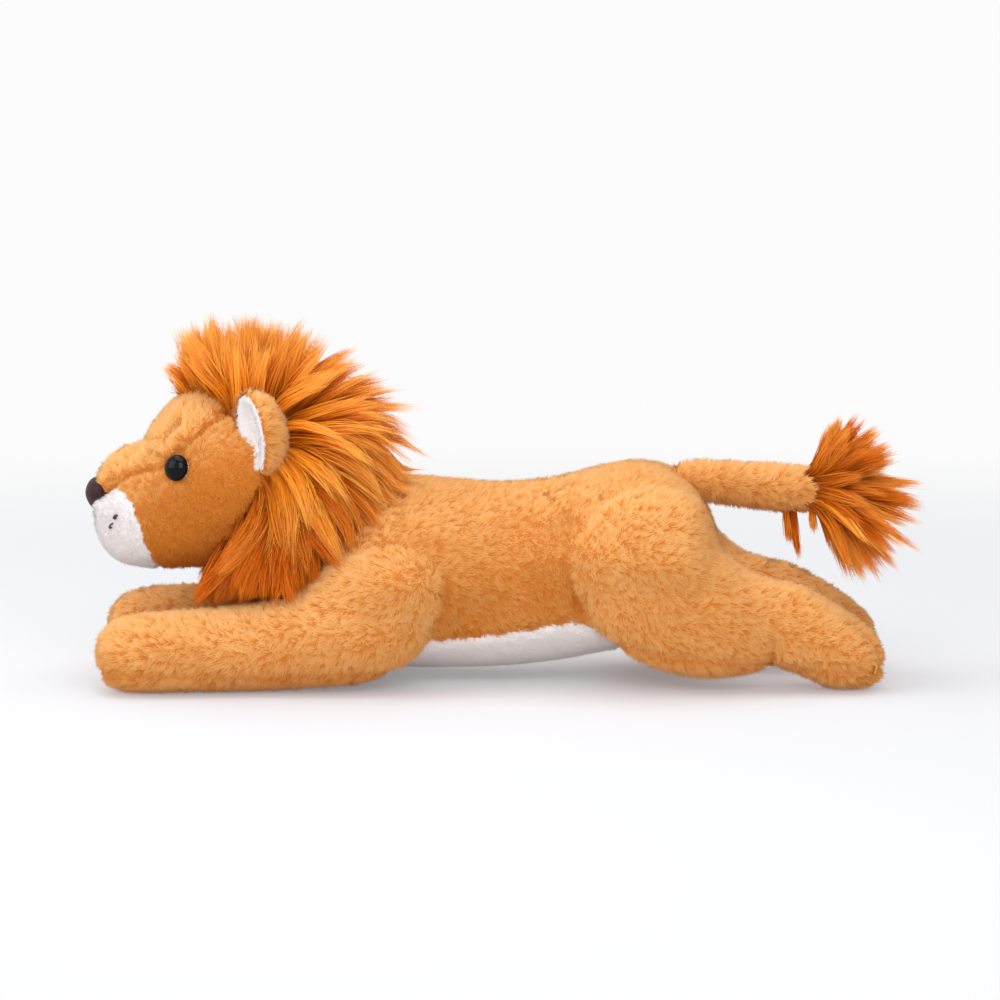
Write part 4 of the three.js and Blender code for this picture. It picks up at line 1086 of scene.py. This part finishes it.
lock_steps, lock_strands, strand_points = 12, 56, 5
strand_width = 0.5 * mm
mane_gap, foreleg_gap = 2 * mm, 1 * mm  # between the locks and what they lie on
crown_z = 100 * mm
ear_clearing, ear_y = 1 * mm, 43 * mm


def combed(places):
    """The way that the mane's pile goes at places, as seen from the side."""
    off = ((places[:, None, [0, 2]] - comb[None, :, :2]) ** 2).sum(2)
    weight = 1 / (off + (5 * mm) ** 2) ** 1.5
    way = unit((weight[:, :, None] * comb[None, :, 2:]).sum(1))
    return np.stack([way[:, 0], np.zeros(len(way)), way[:, 1]], 1)


def along_lines(lines, row, steps):
    """Places on lines of places, each a number of steps from its line's start."""
    first = steps.astype(int)
    part = (steps - first)[:, :, None]
    return lines[row, first] * (1 - part) + lines[row, first + 1] * part


def ribbons(name, spines, widths, facing, shade):
    """One mesh of flat tapered strands. spines is strand x point x 3; widths is strand x point, its last
    left out."""
    count, points = spines.shape[:2]
    tangent = unit(np.gradient(spines, axis=1))
    flat = unit(np.cross(tangent, facing[:, None, :]))
    roll = rng.uniform(-1.1, 1.1, (count, 1, 1))
    side = flat * np.cos(roll) + np.cross(tangent, flat) * np.sin(roll)
    half = side[:, :-1] * widths[:, :, None] / 2
    rows = np.stack([spines[:, :-1] - half, spines[:, :-1] + half], 2).reshape(count, -1, 3)
    vertices = np.concatenate([rows, spines[:, -1:]], 1)
    per = vertices.shape[1]
    corners = [corner for k in range(points - 2) for corner in (2 * k, 2 * k + 1, 2 * k + 3, 2 * k + 2)]
    corners += [per - 3, per - 2, per - 1]
    across = np.where(np.arange(per) % 2, strand_tone, -strand_tone)
    across[-1] = 0
    along = np.append(np.repeat(np.arange(points - 1) / (points - 1), 2), 1.0) * 0.98 + 0.01
    faces = 4 * np.arange(points - 1)
    return show(name, strand_mesh(name, vertices, np.array(corners), faces, shade, across, along))


def locks(name, lines, girth, strands, facing, shade, keep_out=()):
    """Locks of the mane's long pile. Each follows a line of places, swells and then draws to a tip."""
    count = len(lines) * strands
    share = np.linspace(0, 1, strand_points)[None, :] * rng.uniform(0.6, 1.0, (count, 1)) ** 0.7
    lock = np.repeat(np.arange(len(lines)), strands)
    spine = along_lines(lines, lock[:, None], share * (lines.shape[1] - 1.001))
    along = unit(lines[:, -1] - lines[:, 0])[lock]
    across = unit(np.cross(along, facing[lock]))
    out = np.cross(across, along)
    angle, reach = rng.uniform(0, 2 * math.pi, count), np.sqrt(rng.random(count))
    off = (np.cos(angle)[:, None] * across + 0.5 * np.sin(angle)[:, None] * out) * reach[:, None]
    swell = np.interp(share, [0, 0.25, 0.55, 0.8, 1.0], [1.1, 1.05, 0.88, 0.52, 0.06])
    spine = spine + off[:, None] * (swell * girth[lock][:, None])[:, :, None]
    wave = rng.normal(0, 0.6 * mm, (count, 1, 3)) * np.sin(share * 3.0)[:, :, None]
    stray = rng.normal(0, 1.0 * mm, (count, 1, 3)) * (share**2)[:, :, None]
    spine = spine + wave + stray
    spine[..., 2] = np.maximum(spine[..., 2], 0.5 * mm)
    for form, margin in keep_out:
        flat = spine[:, 1:].reshape(-1, 3)
        spine[:, 1:] = form.pushed_out(flat, margin).reshape(count, -1, 3)
    taper = np.interp(np.linspace(0, 1, strand_points)[:-1], [0, 0.5, 1], [1.0, 0.85, 0.35])
    widths = strand_width * rng.uniform(0.7, 1.2, (count, 1)) * taper[None]
    piece = ribbons(name, spine, widths, facing[lock], shade[lock] + rng.normal(0, 0.12, count))
    piece.data.materials.append(mane_pile)
    return piece


# Painted shade: the undercoat is painted darker, as the shade deep between the locks.
under_pile = pile("mane_under_pile", head, mane_pile, spacing=3.2 * mm, strands=8, height=9 * mm, lay=9 * mm,
                  flow=combed, keep=behind_mane_line, width=0.6 * mm, unruly=0.5, tint=-0.25, others=[torso])
under_pile.visible_shadow = True
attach(under_pile, "head")

# Each lock's line starts on the head, and follows the comb and the skin's own way out.
at, up = sprinkled(head, lock_spacing, lambda at: behind_mane_line(at) & (torso_form.past(at, mane_gap) > 0))
long = rng.uniform(lock_shortest, lock_longest, len(at))
long = (long + np.interp(at[:, 0], [-110 * mm, -85 * mm], [0, lock_more])) * mm
crown = (up[:, 2] > 0.62) & (at[:, 2] > crown_z)
lift = np.where(crown, 0.1, 0.38)
sway = 0.22 * swirl(at, 12 * mm) + rng.normal(0, 0.09, at.shape)
sway[:, 1] += 0.5 * up[:, 1] * crown  # the crown fans out to both sides
line = [at - up * mm]
for step in range(1, lock_steps):
    t = step / lock_steps
    way = combed(line[-1]) + up * (1.1 * (1 - t) ** 3 + lift[:, None] * (0.5 - t)) + sway * (0.5 + t)
    line.append(line[-1] + unit(way) * (long / lock_steps)[:, None])
lines = np.stack(line, 1)

# It is cut where it leaves the mane's outline, give or take a step. The first steps lie in the head.
reached = np.ones(len(at))
skipped = 3
for i, slack in enumerate(np.minimum(rng.normal(0, 1.0, len(at)), 0.7)):
    inside = inside_outline(lines[i, skipped:], mane_outline)
    if not inside.any():
        reached[i] = 0.4
        continue
    entry = int(np.argmax(inside))
    if not inside[entry:].all():
        reached[i] = min(1, (entry + int(np.argmin(inside[entry:])) + skipped + slack) / (lock_steps - 1))
steps = np.clip(np.linspace(0, 1, lock_steps)[None] * reached[:, None], 0, 1) * (lock_steps - 1.001)
lines = along_lines(lines, np.arange(len(at))[:, None], steps)

ear_spots = [np.array([ear_middle.x, y, ear_middle.z]) for y in (-ear_y, ear_y)]
near_ears = [np.linalg.norm((lines[:, skipped:] - spot) / (ear_radii + ear_clearing), axis=2).min(1)
             for spot in ear_spots]
clear = np.min(near_ears, 0) > 1
lines, up, at, crown = lines[clear], up[clear], at[clear], crown[clear]
tone = 0.76 + 0.25 * swirl(at, cloud)[:, 0] + rng.normal(0, 0.2, len(at))
tone = tone + np.interp(lines[:, 6, 2], [52 * mm, 102 * mm], [-0.9, 0])  # painted shade: darker below
girth = rng.uniform(3.0, 5.8, len(at)) * mm
left = at[:, 1] < 0
for name, chosen in (("mane_crown", crown), ("mane_left", ~crown & left), ("mane_right", ~crown & ~left)):
    hair = locks(name, lines[chosen], girth[chosen], lock_strands, up[chosen], tone[chosen],
                 keep_out=((torso_form, mane_gap), *((form, foreleg_gap) for form in foreleg_forms.values())))
    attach(hair, "head")
    if name == "mane_crown":
        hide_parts("mane")

# Tail
# A stuffed sleeve with a square hem, sewn to the rump, and a tuft of long pile gathered into the hem.
# It bends on a soft round root inside the rump.

tail_shares = [
    (0, 0.555, 0.555, 0), (0.018, 0.74, 0.37, 0.5), (0.072, 0.92, 0.24, 0.79), (0.2, 1, 0.2, 0.92),
    (0.42, 0.98, 0.11, 1), (0.66, 0.95, 0.018, 1), (0.86, 0.89, 0, 0.97), (0.95, 0.86, 0.01, 0.95),
    (0.99, 0.7, 0.14, 0.66), (1, 0.42, 0.42, 0),
]
tail_pile = 3.4 * mm
hem_x, hem_z = 143 * mm, 90.7 * mm
root_middle, root_radius = Vector((82, 0, 93)) * mm, 7 * mm
tail_form = Form(tail_shares, front=71, length=81, base=78, height=27, half=12)
tail = tail_form.skin("tail", rings=40, around=32, inset=tail_pile)
places = surface(tail)[0]
places[:, 0] = np.minimum(places[:, 0], hem_x)
set_places(tail, places)
tail.data.materials.append(tan_backing)
tail_coat = pile("tail_pile", tail, tan_pile, spacing=2.2 * mm, strands=12, height=tail_pile, lay=3.6 * mm,
                 flow=combed_back(0.9, 0.6, -0.1), keep=lambda at: at[:, 0] < hem_x - 1.5 * mm, unruly=0.8,
                 tint=0.15, others=[torso])
for piece in (tail, tail_coat):
    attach(piece, "tail")
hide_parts("tail_sleeve", "tail_filling")

edit = bmesh.new()
bmesh.ops.create_uvsphere(edit, u_segments=24, v_segments=16, radius=root_radius)
bmesh.ops.translate(edit, verts=edit.verts, vec=root_middle)
tail_root = finished("tail_root_skin", edit)
tail_root.data.materials.append(tan_backing)
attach(tail_root, "tail_root")
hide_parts("tail_root")


def curved(root, *ways):
    """Bezier lines of 12 places that start at roots. ways lead from there to the other three points."""
    t = np.linspace(0, 1, 12)[None, :, None]
    a, b, c, d = (place[:, None] for place in (root, *(root + way for way in ways)))
    return (1 - t) ** 3 * a + 3 * t * (1 - t) ** 2 * b + 3 * t**2 * (1 - t) * c + t**3 * d


fan_angles = [-70, -63, -51, -30, -11, 10, 22, 40, 54, 76]
fan_reaches = np.array([36, 42, 49, 56, 59, 50, 46, 42, 39, 28]) * mm
fan_locks, tuft_strands = 110, 100
gather_y, gather_z = 5.5 * mm, 5.85 * mm  # the locks' roots are spread this far in the hem
turn = rng.uniform(-68, 72, fan_locks)
sideways = rng.normal(0, 0.42, fan_locks)
long = np.interp(turn, fan_angles, fan_reaches) * rng.uniform(0.8, 1.05, fan_locks)
long = (long / np.sqrt(1 + 0.5 * sideways**2))[:, None]
turn = np.radians(turn)
aim = unit(np.stack([np.cos(turn), sideways, np.sin(turn)], 1))
root = np.array([hem_x - 1 * mm, 0, hem_z]) + np.stack(
    [np.zeros(fan_locks), gather_y * np.clip(sideways * 1.6, -1, 1), gather_z * np.sin(turn)], 1)
drop = np.array([0, 0, -1.0])
straight = unit(aim + (1.0, 0, 0))
inside = np.array([2 * mm, 0, 0])
fan = curved(root - inside, inside + straight * long * 0.3, inside + aim * long * 0.68,
             inside + aim * long + drop * long * 0.06)
# Three wisps hang from the sleeve before the hem: x and y there, and their length.
wisps = np.array([(129.5, -3, 17), (132.5, -4, 24), (141.5, -5, 11)]) * mm
root = np.stack([wisps[:, 0], wisps[:, 1], np.full(len(wisps), 81 * mm)], 1)
long = wisps[:, 2:]
inside = np.array([0, 0, -4 * mm])
wisp_lines = curved(root - inside, inside + drop * long * 0.3, inside + (drop + (0.1, 0, 0)) * long * 0.65,
                    inside + (drop + (0.14, 0, 0)) * long)
lines = np.vstack([fan, wisp_lines])
girth = np.concatenate([rng.uniform(2.0, 3.4, fan_locks), np.full(len(wisps), 1.0)]) * mm
tuft = locks("tail_tuft_pile", lines, girth, tuft_strands, np.tile([0.0, -1.0, 0.0], (len(lines), 1)),
             0.3 + rng.normal(0, 0.2, len(lines)))
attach(tuft, "tail")
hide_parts("tail_tuft")

# Hidden pieces
# The loose fibre in the neck and the lock washers behind the eyes stay as in the solids, and only need
# their finish.

# Crimped polyester fibre: off-white fluff without a shine, in lumps of 2.5 mm.
lumps = (2.5 * mm, 6.0)
fibre = soft_material("loose polyester fibre", "dcdad4", "f7f5f0", patches=lumps, grain=lumps,
                      bump=(1.0, 1.0 * mm), Roughness=1.0)
# Plastic as it comes from the mould: pale and half matt, with a grain of 0.67 mm.
moulded = plastic_material("undyed moulded plastic", "e9e6dc", grain=0.67 * mm, detail=2.0, rough=(0.3, 0.5))
for name, material in (("neck_filling", fibre), ("eye_washer_left", moulded), ("eye_washer_right", moulded)):
    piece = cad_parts[name]
    piece.data.materials.clear()
    piece.data.materials.append(material)
